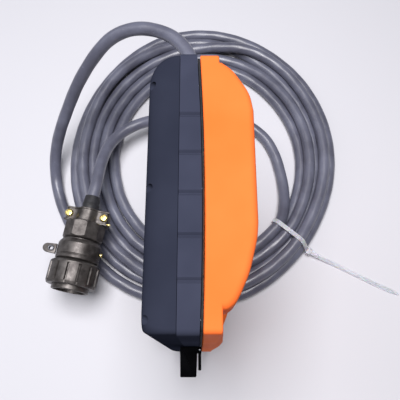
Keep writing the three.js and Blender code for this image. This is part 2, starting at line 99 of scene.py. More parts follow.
# %% [markdown]
# A plain pale table and one large soft light straight overhead give the even light of a product
# shot. The sides of the housing get little of it, so they go dark, as they should. A weak light
# from the left and a dim world lift the shadows a little. Colours are written as the sRGB hex
# values that a paint chart would give, and one function turns them into the linear numbers
# that Blender wants.

# %% Colours
def srgb(hex_code):
    """Linear RGBA of an sRGB hex value."""
    parts = [int(hex_code[i:i + 2], 16) / 255 for i in (1, 3, 5)]
    linear = [c / 12.92 if c <= 0.04045 else ((c + 0.055) / 1.055) ** 2.4 for c in parts]
    return (*linear, 1.0)


print("linear value of mid grey #808080:", round(srgb("#808080")[0], 3))


# %% Table and light
def soft_light(name, watts, where, aim, size_m, colour):
    """A rectangular area light, aimed at a point."""
    data = bpy.data.lights.new(name, "AREA")
    data.energy = watts
    data.color = srgb(colour)[:3]
    data.shape = "RECTANGLE"
    data.size, data.size_y = size_m
    lamp = bpy.data.objects.new(name, data)
    bpy.context.scene.collection.objects.link(lamp)
    lamp.location = place(*where)
    direction = place(*aim) - lamp.location
    lamp.rotation_euler = direction.to_track_quat("-Z", "Y").to_euler()


soft_light("overhead_softbox", 25, (-80, 70, 1180), (-20, 60, 0), (0.75, 0.6), "#fffdfe")
soft_light("side_fill", 4, (-1300, 500, 900), (0, 0, 0), (1.0, 1.0), "#f3f8ff")

TABLE_HALF = 2600.0
table_corners = [(-1, -1), (1, -1), (1, 1), (-1, 1)]
table_mesh = bpy.data.meshes.new("table")
table_mesh.from_pydata([place(x * TABLE_HALF, y * TABLE_HALF, FLOOR) for x, y in table_corners],
                       [], [(0, 1, 2, 3)])
table = bpy.data.objects.new("table", table_mesh)
bpy.context.scene.collection.objects.link(table)
table_finish = bpy.data.materials.new("table_matt_white_laminate")
table_finish.use_nodes = True
table_shader = table_finish.node_tree.nodes["Principled BSDF"]
table_shader.inputs["Base Color"].default_value = srgb("#cbcbd1")
table_shader.inputs["Roughness"].default_value = 0.7
table_mesh.materials.append(table_finish)

world = bpy.data.worlds.new("studio")
bpy.context.scene.world = world
world.use_nodes = True
sky = world.node_tree.nodes["Background"]
sky.inputs["Color"].default_value = srgb("#eff0f7")
sky.inputs["Strength"].default_value = 0.14
bpy.context.scene.view_settings.view_transform = "Standard"  # colours come out as they are set
print("table, two lights and a pale world placed")

# %% [markdown]
# ## Finishes
#
# Every finish starts from what the real surface is and how it was made. One function adds a
# node with its settings and links. A pattern's scale is worked out from a real size in
# millimetres. Most finishes are two close colours in soft patches, an uneven gloss and a fine
# relief, so one function makes those from a few facts.

# %% Node helpers
def cycles_for(size_mm):
    """A texture scale that makes one cell about this many millimetres."""
    return 1 / (size_mm * MM)


def add_node(tree, kind, links=None, values=None, **settings):
    """Adds a node, sets its properties and socket values, and links sockets into it."""
    node = tree.nodes.new("ShaderNode" + kind)
    for key, value in settings.items():
        setattr(node, key, value)
    for socket, value in (values or {}).items():
        node.inputs[socket].default_value = value
    for socket, source in (links or {}).items():
        tree.links.new(source, node.inputs[socket])
    return node


def new_finish(name, **shader_values):
    """A material with only its shader; the values go on the shader's own sockets."""
    finish = bpy.data.materials.new(name)
    finish.use_nodes = True
    shader = finish.node_tree.nodes["Principled BSDF"]
    for socket, value in shader_values.items():
        shader.inputs[socket.replace("_", " ")].default_value = value
    return finish, finish.node_tree, shader


def where(tree):
    """The object's own coordinates, so that a pattern moves with its piece."""
    return add_node(tree, "TexCoord").outputs["Object"]


def two_colours(tree, amount, low, high):
    """A ramp between two colours, each given as (position, hex value)."""
    ramp = add_node(tree, "ValToRGB", {"Fac": amount})
    for stop, (position, colour) in zip(ramp.color_ramp.elements, (low, high)):
        stop.position = position
        stop.color = srgb(colour)
    return ramp.outputs["Color"]


def mottle(tree, at, size_mm, dark, light, detail=3.0):
    """A soft cloud between two colours, with patches of about the given size."""
    noise = add_node(tree, "TexNoise", {"Vector": at},
                     {"Scale": cycles_for(size_mm), "Detail": detail})
    return two_colours(tree, noise.outputs["Fac"], (0.35, dark), (0.65, light))


def vary(tree, at, shader, size_mm, low, high):
    """Roughness between two values in patches of about the given size."""
    noise = add_node(tree, "TexNoise", {"Vector": at},
                     {"Scale": cycles_for(size_mm), "Detail": 4.0})
    spread = add_node(tree, "MapRange", {"Value": noise.outputs["Fac"]},
                      {"From Min": 0.3, "From Max": 0.7, "To Min": low, "To Max": high})
    tree.links.new(spread.outputs["Result"], shader.inputs["Roughness"])


def grain(tree, at, shader, size_mm, depth_mm, strength=0.6):
    """The fine relief that a mould's texture, a casting or an extrusion leaves."""
    noise = add_node(tree, "TexNoise", {"Vector": at},
                     {"Scale": cycles_for(size_mm), "Detail": 2.0})
    bump = add_node(tree, "Bump", {"Height": noise.outputs["Fac"]},
                    {"Strength": strength, "Distance": depth_mm * MM})
    tree.links.new(bump.outputs["Normal"], shader.inputs["Normal"])


def plain_finish(name, dark, light, patch_mm, rough, grain_mm, depth_mm, **shader_values):
    """A finish of two close colours, uneven gloss and a fine relief."""
    finish, tree, shader = new_finish(name, **shader_values)
    at = where(tree)
    tree.links.new(mottle(tree, at, patch_mm, dark, light), shader.inputs["Base Color"])
    vary(tree, at, shader, patch_mm * 0.6, *rough)
    grain(tree, at, shader, grain_mm, depth_mm)
    return finish


print("a 2 mm pattern has a texture scale of", cycles_for(2.0))

# %% [markdown]
# The plastics are injection moulded. ABS picks up the mould's spark-eroded texture, a pebbled
# grain of about half a millimetre. On the big shells it scatters the light so widely that no
# highlight is left, so their specular level is turned down to next to nothing. The front shell
# is a dark blue-grey, the bumper band a softer and slightly lighter elastomer, and the rear
# shell is safety orange. Black parts are glass-filled nylon, just as matt. The stop button is
# the one glossy moulding.

# %% Moulded plastics
charcoal_abs = plain_finish("charcoal_abs_moulded", "#242733", "#2b2e3b", 60, (0.46, 0.58),
                            0.55, 0.03, IOR=1.53, Specular_IOR_Level=0.0)
band_tpe = plain_finish("band_elastomer_moulded", "#2f3240", "#363948", 45, (0.44, 0.56),
                        0.5, 0.03, IOR=1.5, Specular_IOR_Level=0.0)
orange_abs = plain_finish("orange_abs_moulded", "#e5692f", "#eb7238", 70, (0.4, 0.5),
                          0.6, 0.03, IOR=1.53, Specular_IOR_Level=0.004)
black_nylon = plain_finish("black_nylon_moulded", "#060608", "#0c0c0f", 12, (0.4, 0.55),
                           0.5, 0.03, IOR=1.53, Specular_IOR_Level=0.004)
switch_pbt = plain_finish("switch_block_pbt", "#1b1b1f", "#26262b", 8, (0.45, 0.6),
                          0.4, 0.02, IOR=1.55)
stop_red = plain_finish("stop_button_red_abs", "#b80f16", "#c6181e", 25, (0.18, 0.3),
                        0.8, 0.01, IOR=1.53)
collar_yellow = plain_finish("collar_yellow_abs", "#e8b414", "#f2c026", 18, (0.35, 0.45),
                             0.5, 0.02, IOR=1.53)
print("seven moulded plastics")

# %% [markdown]
# Rubber parts are soft, so they are matt and pick up dust. The key mat is pale grey silicone,
# the gasket is closed-cell neoprene, and the plug's boot and the strain relief are moulded
# rubber with a coarse skin.

# %% Rubbers
key_silicone = plain_finish("key_silicone_moulded", "#b9bcc6", "#c8cbd4", 10, (0.55, 0.7),
                            0.4, 0.02, IOR=1.42)
neoprene = plain_finish("gasket_neoprene", "#08080a", "#111114", 5, (0.75, 0.9), 0.6, 0.06,
                        IOR=1.52)
boot_rubber = plain_finish("boot_rubber_moulded", "#121216", "#24242a", 6, (0.55, 0.75),
                           1.1, 0.25, IOR=1.52)
print("three rubbers")

# %% [markdown]
# The plug is die-cast aluminium under an olive drab zinc-nickel plating. It is a real metal
# surface, dark and brownish, and its gloss is uneven where hands have polished it. The clamp
# screws are plated brass with a yellow cast. Case screws and the clip's pin are stainless steel.

# %% Metals
def metal(name, dark, light, patch_mm, rough, grain_mm, depth_mm, metallic=1.0):
    return plain_finish(name, dark, light, patch_mm, rough, grain_mm, depth_mm,
                        Metallic=metallic)


olive_plate = metal("olive_drab_plated_aluminium", "#454140", "#64605e", 7, (0.36, 0.54),
                    0.9, 0.09, metallic=0.75)
screw_brass = metal("yellow_plated_brass", "#cdb463", "#f0e2a4", 2, (0.25, 0.38), 0.5, 0.01)
steel = metal("stainless_steel_turned", "#6c6e74", "#888a90", 3, (0.3, 0.45), 0.4, 0.01)
print("three metals")
# %% [markdown]
# ## Shapes
#
# Moulded and turned parts are described the way their tools cut them: a turned part by the
# outline of its section, a shell by a stack of rounded rectangles, a rib or a grip by a side
# view pulled along one axis. Each helper below gives a closed shape as points and faces in
# millimetres. Real edges are never knife sharp, so outlines get their corners rounded first.

# %% Outlines
def rounded(outline, radius, closed=False, steps=4):
    """The outline with each corner replaced by an arc-like curve of about this radius."""
    points = [np.array(p, float) for p in outline]
    result = []
    for i, corner in enumerate(points):
        if not closed and i in (0, len(points) - 1):
            result.append(corner)
            continue
        before, after = points[i - 1], points[(i + 1) % len(points)]
        run_in, run_out = before - corner, after - corner
        reach = min(radius, 0.45 * np.linalg.norm(run_in), 0.45 * np.linalg.norm(run_out))
        start = corner + run_in / np.linalg.norm(run_in) * reach
        end = corner + run_out / np.linalg.norm(run_out) * reach
        for t in np.linspace(0, 1, steps + 1):
            result.append((1 - t) ** 2 * start + 2 * t * (1 - t) * corner + t * t * end)
    return np.array(result)


def rounded_box(half_a, half_b, radius, steps=8):
    """A rectangle with round corners, anticlockwise, as points of (a, b)."""
    points = []
    for corner, (sign_a, sign_b) in enumerate(((1, 1), (-1, 1), (-1, -1), (1, -1))):
        for t in np.linspace(0, math.pi / 2, steps + 1):
            angle = corner * math.pi / 2 + t
            points.append((sign_a * (half_a - radius) + radius * math.cos(angle),
                           sign_b * (half_b - radius) + radius * math.sin(angle)))
    return np.array(points)


print("a 10 x 6 outline has", len(rounded_box(5, 3, 1)), "points")


# %% Closed shapes
def stack(rings, closed=False):
    """Skins a list of rings of equal size, and caps the first and the last."""
    count = len(rings[0])
    faces = []
    for r in range(len(rings) if closed else len(rings) - 1):
        a, b = r * count, (r + 1) % len(rings) * count
        for i in range(count):
            j = (i + 1) % count
            faces.append((a + i, a + j, b + j, b + i))
    if not closed:
        faces.append(tuple(range(count))[::-1])
        faces.append(tuple(range((len(rings) - 1) * count, len(rings) * count)))
    return np.vstack(rings), faces


def lathe(outline, sides=64, closed=False):
    """Turns an outline of (radius, y) about the Y axis. Open outlines end on flat faces."""
    angles = np.arange(sides) * 2 * math.pi / sides
    rings = [np.column_stack([r * np.cos(angles), np.full(sides, y), r * np.sin(angles)])
             for r, y in outline]
    return stack(rings, closed)


def levels(sections, steps=8):
    """Rounded rectangles one above the other along X: (x, half y, half z, radius)."""
    rings = []
    for x, half_y, half_z, radius in sections:
        ring = rounded_box(half_y, half_z, radius, steps)
        rings.append(np.column_stack([np.full(len(ring), x), ring]))
    return stack(rings)


def pulled(outline, low, high, edge=0.0, steps=5):
    """An outline of (x, y), pulled along Z, with its two ends' edges rounded."""
    outline = np.array(outline, float)
    turn = np.roll(outline, -1, axis=0) - np.roll(outline, 1, axis=0)
    turn /= np.linalg.norm(turn, axis=1)[:, None]
    area = np.sum(outline[:, 0] * np.roll(outline[:, 1], -1)
                  - outline[:, 1] * np.roll(outline[:, 0], -1))
    inward = np.column_stack([-turn[:, 1], turn[:, 0]]) * (1 if area > 0 else -1)
    rings = []
    marks = np.linspace(0, math.pi / 2, steps + 1) if edge else [math.pi / 2]
    for a in marks:
        rings.append((edge * (1 - math.sin(a)), low + edge * (1 - math.cos(a))))
    rings += [(inset, low + high - z) for inset, z in rings[::-1]]
    return stack([np.column_stack([outline + inset * inward, np.full(len(outline), z)])
                  for inset, z in rings])


def block(x, y, z, edge=0.6):
    """A box from its spans, with rounded edges all round."""
    half_x, half_y, half_z = ((b - a) / 2 for a, b in (x, y, z))
    edge = min(edge, 0.45 * min(half_x, half_y, half_z) * 2)
    ring = rounded_box(half_x, half_y, edge, 4)
    points, faces = pulled(ring, -half_z, half_z, edge * 0.98, 4)
    return points + [(a + b) / 2 for a, b in (x, y, z)], faces


def moved(shape, matrix):
    """The same shape, turned and shifted."""
    points, faces = shape
    turned = points @ np.array(matrix.to_3x3()).T + np.array(matrix.translation)
    return turned, faces


def x_axis(y, z):
    """Lays a lathe's Y axis along +X through a point."""
    return Matrix.Translation((0, y, z)) @ Matrix.Rotation(-math.pi / 2, 4, "Z")


def z_axis(x, y):
    """Stands a lathe's Y axis along +Z through a point."""
    return Matrix.Translation((x, y, 0)) @ Matrix.Rotation(math.pi / 2, 4, "X")


print("a turned pin has", len(lathe([(1, 0), (1, 2)])[0]), "points")


# %% Pieces
def mesh_of(name, shape):
    """A mesh in the frame's metres, with its faces pointing out."""
    points, faces = shape
    mesh = bpy.data.meshes.new(name)
    mesh.from_pydata([place(*map(float, p)) for p in points], [], faces)
    work = bmesh.new()
    work.from_mesh(mesh)
    bmesh.ops.remove_doubles(work, verts=work.verts, dist=1e-6)
    bmesh.ops.recalc_face_normals(work, faces=work.faces)
    work.to_mesh(mesh)
    work.free()
    return mesh


def piece(name, shape, finish, body="station", replaces=(), sharp_deg=38.0):
    """A finished piece that rides on its body and stands for its CAD nodes."""
    made = bpy.data.objects.new(name, mesh_of(name, shape))
    bpy.context.scene.collection.objects.link(made)
    made.data.materials.append(finish)
    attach(made, body)
    if replaces:
        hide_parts(*replaces)
    smooth(made, sharp_deg)
    return made


def smooth(made, sharp_deg):
    """Smooth shading, with the edges that are sharper than the angle kept sharp."""
    made.data.shade_smooth()
    made.data.set_sharp_from_angle(angle=math.radians(sharp_deg))


def carve(made, cutters, operation="DIFFERENCE", sharp_deg=38.0):
    """Cuts shapes out of a piece, or joins them on, and keeps the result as its mesh."""
    tools = []
    for number, shape in enumerate(cutters):
        tool = bpy.data.objects.new(f"tool_{number}", mesh_of("tool", shape))
        bpy.context.scene.collection.objects.link(tool)
        step = made.modifiers.new(f"cut_{number}", "BOOLEAN")
        step.operation, step.object, step.solver = operation, tool, "MANIFOLD"
        tools.append(tool)
    bpy.context.view_layer.update()
    result = bpy.data.meshes.new_from_object(
        made.evaluated_get(bpy.context.evaluated_depsgraph_get()))
    made.modifiers.clear()
    made.data = result
    for tool in tools:
        bpy.data.objects.remove(tool)
    smooth(made, sharp_deg)
    return made


print("piece helpers ready")
# %% [markdown]
# ## The cable
#
# The cable is a 13 mm multicore control cable: many thin cores laid in a slow twist under a
# grey PVC jacket. It is stiff, so it can't be drawn as a neat spring. Its two free ends follow
# given routes, which the CAD tubes follow too. The coil between them starts as six
# turns worked out by a loop. A small relaxation then settles it: strands that touch push each
# other apart, gravity pulls them down, and stiffness keeps each curve smooth. A rope
# simulation would do the same with far less control.

# %% The cable's two free ends
CABLE_D = 13.0
CABLE_R = CABLE_D / 2
EXIT_ROUTE = [
    (-8, 145.4, 0), (-8, 158, 0), (-11, 177, -1), (-24, 197, -2), (-44, 209, -4), (-66, 213, -7),
    (-89, 210, -17), (-110, 201, -37), (-131, 186, -63), (-149, 168, -92), (-166, 151, -120),
    (-173, 136, -143), (-175.5, 120, -155), (-173.5, 104, -157), (-168, 88, -157),
]
LEAD_ROUTE = [
    (-116.8, 78.6, -111), (-114.5, 92, -111.6), (-113, 112, -115.5), (-110, 133, -121.5),
    (-104, 150, -127), (-94, 163, -130), (-79, 173.5, -131), (-60, 181.5, -134), (-37, 190, -143),
    (-12, 197.5, -152.5), (14, 201, -157), (38, 199, -157), (57, 192, -157), (73, 182, -157),
    (85, 170.5, -157), (91, 163, -157),
]


def even_steps(line, spacing):
    """The same line, cut into even steps."""
    along = np.r_[0, np.cumsum(np.linalg.norm(np.diff(line, axis=0), axis=1))]
    marks = np.linspace(0, along[-1], max(2, round(along[-1] / spacing) + 1))
    return np.column_stack([np.interp(marks, along, line[:, k]) for k in range(3)])


def smooth_line(points, spacing):
    """A Catmull-Rom curve through the points, cut into even steps."""
    p = np.array(points, float)
    p = np.vstack([2 * p[0] - p[1], p, 2 * p[-1] - p[-2]])
    t = np.linspace(0, 1, 24, endpoint=False)[:, None]
    fine = [0.5 * (2 * b + (c - a) * t + (2 * a - 5 * b + 4 * c - d) * t ** 2
                   + (3 * b - a - 3 * c + d) * t ** 3)
            for a, b, c, d in zip(p, p[1:], p[2:], p[3:])]
    return even_steps(np.vstack(fine + [p[-2:-1]]), spacing)


def length_of(line):
    """A line's length in millimetres."""
    return float(np.linalg.norm(np.diff(line, axis=0), axis=1).sum())


STEP = 6.0
exit_line = smooth_line(EXIT_ROUTE, STEP)
lead_line = smooth_line(LEAD_ROUTE, STEP)[::-1]
print(f"exit {length_of(exit_line):.0f} mm, lead {length_of(lead_line):.0f} mm")

# %% [markdown]
# The coil was wound by hand, anticlockwise seen from above and from the outside in. Each turn
# has a lane, which is its distance in from an oval outline, and a layer, on the table or on top
# of the others. A hand-wound turn wanders, so the lane and the layer are given at eight places
# round each turn, and turns cross where one of them climbs over another.

# %% The coil's lanes
COIL_X, COIL_Y = -1.0, 145.0
COIL_HALF = (163.6, 188.0)
COIL_HIGH = 26.0
LAYER = 12.0
START_DEG, END_DEG = 197.0, 2148.0
AT_DEG = (180, 225, 270, 319, 360, 405, 450, 495)
LANES = [  # (lane, layer) of each turn at AT_DEG
    [(-11, 0), (-4, 0), (9, 0), (15, 0), (7, 0), (6.5, 0), (6.5, 0), (15, 0)],
    [(12, 0), (12, 0), (22, 0), (27, 0), (21, 0), (25, 0), (20, 0.6), (14, 1)],
    [(19, 1), (22, 1), (16, 1), (21, 1), (12, 1), (15, 1), (27, 0.9), (30, 0)],
    [(27, 0), (27, 0), (35, 0), (33.5, 1), (28, 1), (36, 0.9), (36, 0.2), (43, 0.7)],
    [(40, 0), (40, 0), (48, 0), (39.5, 0), (35, 0), (42, 0), (50, 0), (56, 0)],
    [(54, 0), (54, 0), (41, 1), (48, 1), (59, 0), (66, 0), (66, 0), (66, 0)],
]


def coil_start():
    """The coil's points before it settles."""
    places = np.array([360 * turn + at for turn in range(len(LANES)) for at in AT_DEG])
    table = np.array([pair for turn in LANES for pair in turn], float)
    turned = np.arange(START_DEG, END_DEG, 2.0)
    after = np.clip(np.searchsorted(places, turned, side="right"), 1, len(places) - 1)
    share = (turned - places[after - 1]) / (places[after] - places[after - 1])
    share = (share * share * (3 - 2 * share))[:, None]
    lane, layer = (table[after - 1] * (1 - share) + table[after] * share).T
    angle = np.radians(turned)
    inward = 1 - lane / COIL_HALF[0]
    return np.column_stack([COIL_X + COIL_HALF[0] * inward * np.cos(angle),
                            COIL_Y + COIL_HALF[1] * inward * np.sin(angle),
                            FLOOR + CABLE_R + LAYER * layer])


def softened(line, rounds):
    """The line with its kinks drawn out, its two ends kept."""
    line = line.copy()
    for _ in range(rounds):
        line[1:-1] += 0.5 * (0.5 * (line[:-2] + line[2:]) - line[1:-1])
    return line


coil_line = even_steps(softened(coil_start(), 60), STEP)
JOIN = 5  # steps left out at each join, for the curve to bridge
whole = np.vstack([exit_line[:-1], coil_line[JOIN:-JOIN], lead_line[1:]])
whole = even_steps(whole, STEP)
free_from, free_to = len(exit_line) - 9, len(whole) - len(lead_line) + 7
middle = slice(free_from - 14, free_to + 14)
whole[middle] = softened(whole[middle], 40)
print(f"cable before settling: {length_of(whole):.0f} mm in {len(whole)} steps")

# %% [markdown]
# Settling runs on the centreline only, under a thousand points, so it takes seconds. In each
# round the points sink a little, touching strands move apart, and the change from the drawn
# line is smoothed along the cable, which acts like its stiffness. The pendant presses the coil
# to two layers where it stands, the tie gathers the strands, and the table stops them all.

# %% Settle the cable
TIE_MM = np.array([100.1, 45.2])
TIE_SLOPE = -0.681
TIE_HALF = 24.0
TIE_LIFT = 1.35  # the strap passes under the strands
ALONG_TIE = np.array([math.cos(TIE_SLOPE), math.sin(TIE_SLOPE)])
ACROSS_TIE = np.array([-ALONG_TIE[1], ALONG_TIE[0]])
ROUNDS = 300


def touching_pairs(line, reach):
    """Pairs of points nearer than reach that aren't neighbours along the cable."""
    near = []
    for i in range(len(line) - 6):
        gap = line[i + 6:] - line[i]
        close = np.nonzero((gap ** 2).sum(1) < reach ** 2)[0]
        near.append(np.column_stack([np.full(len(close), i), close + i + 6]))
    return np.vstack(near)


def part_strands(line, pairs, free):
    """Moves strands that touch to one diameter apart."""
    gap = line[pairs[:, 1]] - line[pairs[:, 0]]
    far = np.linalg.norm(gap, axis=1)
    hit = far < CABLE_D
    push = gap[hit] / far[hit, None] * (CABLE_D - far[hit, None]) * 0.5
    moved, counts = np.zeros_like(line), np.zeros(len(line))
    for side, sign in ((0, -1), (1, 1)):
        np.add.at(moved, pairs[hit, side], sign * push)
        np.add.at(counts, pairs[hit, side], 1)
    line[free] += (1.6 * moved / np.maximum(counts, 1)[:, None])[free]


def hold(line, free):
    """The table, the pendant on top and the tie."""
    flat = line[:, :2] - TIE_MM
    along, across = flat @ ALONG_TIE, flat @ ACROSS_TIE
    at_tie = free & (np.abs(along) < 60) & (np.abs(across) < 30)
    lift = TIE_LIFT * np.exp(-(across / 9) ** 2) * at_tie
    line[:, 2] = np.where(free, np.maximum(line[:, 2], FLOOR + CABLE_R + 0.05 + lift), line[:, 2])
    reach = TIE_HALF - CABLE_R + (across / 7) ** 2
    held = np.clip(along, -reach, reach) - along
    line[at_tie, :2] += (held[:, None] * ALONG_TIE)[at_tie]
    under = free & (line[:, 0] > -45) & (line[:, 0] < 42) & (line[:, 1] < 95)
    top = FLOOR + COIL_HIGH - CABLE_R
    line[under, 2] = np.minimum(line[under, 2], top)


def settle(line):
    """The line after every strand has found its place."""
    drawn = line.copy()
    free = np.zeros(len(line), bool)
    free[free_from:free_to] = True
    for step in range(ROUNDS):
        if step % 12 == 0:
            pairs = touching_pairs(line, 2 * CABLE_D)
        loose = 1 - step / ROUNDS
        line[free, 2] -= 0.04 * loose + 0.01
        for _ in range(4):
            part_strands(line, pairs, free)
            hold(line, free)
        change = line - drawn
        stiff = 0.1 + 0.5 * loose
        change[1:-1] = (1 - stiff) * change[1:-1] + stiff * 0.5 * (change[:-2] + change[2:])
        line[free] = (drawn + change)[free]
    return line


cable_line = softened(settle(whole.copy()), 2)
pairs = touching_pairs(cable_line, CABLE_D)
worst = min(np.linalg.norm(cable_line[pairs[:, 0]] - cable_line[pairs[:, 1]], axis=1), default=13)
print(f"cable {length_of(cable_line):.0f} mm, {len(pairs)} close pairs, nearest {worst:.1f} mm")

# %% [markdown]
# The jacket is extruded over the twisted cores, so they show through as faint ridges that run
# round the cable in a slow spiral, about one turn in 160 mm. The mesh is a tube of 36 sides
# pulled along the settled line, and its radius swells a little over each core.

# %% The cable's jacket
CORES, LAY_MM, RIDGE = 6, 160.0, 0.013
JACKET_SIDES = 36
PLUG_HEADING = 0.169  # the plug's angle from +Y, towards +X


def tube(line, radius_at, sides):
    """A closed tube along a line; radius_at gives the radius from distance and angle."""
    ahead = np.gradient(line, axis=0)
    ahead /= np.linalg.norm(ahead, axis=1)[:, None]
    along = np.r_[0, np.cumsum(np.linalg.norm(np.diff(line, axis=0), axis=1))]
    side = np.cross(ahead[0], (0.0, 0.0, 1.0) if abs(ahead[0][2]) < 0.9 else (1.0, 0.0, 0.0))
    angles = np.arange(sides) * 2 * math.pi / sides
    rings = []
    for centre, forward, s in zip(line, ahead, along):
        side = side - forward * (side @ forward)
        side /= np.linalg.norm(side)
        up = np.cross(forward, side)
        radius = radius_at(s, angles)[:, None]
        rings.append(centre + radius * (np.cos(angles)[:, None] * side
                                        + np.sin(angles)[:, None] * up))
    return stack(rings)


def jacket_radius(s, angle):
    """The jacket's radius at a distance along the cable, a little larger over each core."""
    return CABLE_R * (1 - RIDGE + RIDGE * np.cos(CORES * (angle + 2 * math.pi * s / LAY_MM)))


plug_way = np.array([math.sin(PLUG_HEADING), math.cos(PLUG_HEADING), 0.0])
into_relief = [(-8.0, 137.0, 0.0)]
into_boot = [cable_line[-1] - 8 * plug_way]  # the cable goes 8 mm into the boot
cable_path = smooth_line(np.vstack([into_relief, cable_line[::2], into_boot]), 3.0)
jacket = tube(cable_path, jacket_radius, JACKET_SIDES)
cable = bpy.data.objects.new("control_cable", mesh_of("control_cable", jacket))
bpy.context.scene.collection.objects.link(cable)
print(f"jacket follows {length_of(cable_path):.0f} mm of cable, {len(cable.data.polygons)} faces")

# %% [markdown]
# Grey PVC is a soft, slightly waxy plastic. Handling leaves it with a patchy sheen and a faint
# bluish bloom. Small lighter bluish flecks are a painted highlight, for the streaks of light
# along the strands. The sheen is broad, so each strand shows one soft line of light. The fine
# relief is noise, which stands for the extruder's drag lines, drawn at 1.2 mm because the real
# ones are too fine to show.

# %% PVC jacket
def pvc_jacket():
    finish, tree, shader = new_finish("grey_pvc_extruded", IOR=1.53, Coat_Weight=0.15,
                                      Coat_Roughness=0.35)
    at = where(tree)
    base = mottle(tree, at, 28, "#50515f", "#646676", detail=4.0)
    # Painted highlight: lighter bluish flecks, mixed into the jacket's colour up to about a
    # third, stand for the streaks of light along the strands.
    painted_highlight_flecks = add_node(tree, "TexNoise", {"Vector": at},
                      {"Scale": cycles_for(2.2), "Detail": 6.0, "Distortion": 1.5})
    mask = add_node(tree, "MapRange", {"Value": painted_highlight_flecks.outputs["Fac"]},
                    {"From Min": 0.62, "From Max": 0.78, "To Min": 0.0, "To Max": 0.35})
    mixed = add_node(tree, "Mix", data_type="RGBA")
    tree.links.new(mask.outputs["Result"], mixed.inputs["Factor"])
    tree.links.new(base, mixed.inputs["A"])
    # The painted highlight's colour.
    mixed.inputs["B"].default_value = srgb("#8b8d9f")
    tree.links.new(mixed.outputs["Result"], shader.inputs["Base Color"])
    vary(tree, at, shader, 9, 0.28, 0.42)
    grain(tree, at, shader, 1.2, 0.05, 0.5)
    return finish


cable.data.materials.append(pvc_jacket())
smooth(cable, 60)
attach(cable, "station")
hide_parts("cord_exit", "cord_coil", "cord_lead")
print("jacket finished")

# %% [markdown]
# ## The housing
#
# The front shell is a deep tray. Its face is flat, and three of its sides roll over into it in
# a quarter-round; the side with the clip stays almost square. It could be modelled as a box
# with a big bevel, but a stack of rounded rectangles that shrink along a sine gives the true
# rolled side, with a corner radius that grows towards the face. The hollow, the display
# opening, the key holes and the screw wells are then cut out, as the mould's inserts do.
#
# The seam behind the band isn't straight: it bows forward towards both ends, by up to 2.7 mm.
# One function gives the bow, and each outline that meets the seam is moved by it.

# %% Front shell
FACE_X, BAND_X, CORNER = -33.0, -14.0, 3.0
ROLL_CABLE, ROLL_CLIP, ROLL_SIDE, ROLL_CORNER = 11.0, 5.0, 14.0, 6.0
SCREW_Z = 129.0
SCREWS_Y = (-73.0, -0.8, 65.0)
WINDOW_Y, WINDOW_Z = -11.0, 18.0
STOP_Y, STOP_Z = -44.0, -98.0
SELECTOR_Y, SELECTOR_Z = -3.0, -98.0
OUTLET_X = -8.0
SOFT_KEYS = [(53.0, z) for z in (78, 48, 18, -12, -42)]
JOG_KEYS = [(y, z) for y in (20.0, 37.0, 54.0) for z in (-88, -108)]


def across_face(y, z):
    """Shifts a shape drawn about the X axis to its place on the operator's face."""
    return Matrix.Translation((0, y, z))


def rod(radius, low, high, y, z, sides=40):
    """A plain round cutter along X."""
    return moved(lathe([(radius, low), (radius, high)], sides), x_axis(y, z))


def cable_outlet():
    """The cutter for the hole that the gland sits in."""
    return moved(lathe([(5, 70), (5, 90)], 40), Matrix.Translation((OUTLET_X, 0, 0)))


SEAM_BOW, SEAM_REAR_Y, SEAM_REACH = 2.7, -15.0, 96.0  # a parabola about its rearmost point
SEAM_STEPS = 20


def seam_bow(y):
    """How far the seam lies in front of its rearmost point, at a distance along the housing."""
    return SEAM_BOW * ((y - SEAM_REAR_Y) / SEAM_REACH) ** 2


def outline_at(x, half_y, half_z, radius, bow=0):
    """One closed outline of the housing; with bow=1 it follows the seam."""
    corners = rounded_box(half_y, half_z, radius, 12)
    points = []
    for a, b in zip(corners, np.roll(corners, -1, axis=0)):
        count = SEAM_STEPS if abs(b[0] - a[0]) > 20 else 1
        points += [a + (b - a) * k / count for k in range(count)]
    flat = np.array(points) + (MIDDLE_Y, 0)
    return np.column_stack([x - bow * seam_bow(flat[:, 0]), flat])


def rounded_ring(x, half_y, half_z, radius, shift):
    """One flat rounded outline of the front shell, shifted along Y."""
    flat = rounded_box(half_y, half_z, radius, 12) + (MIDDLE_Y + shift, 0)
    return np.column_stack([np.full(len(flat), x), flat])


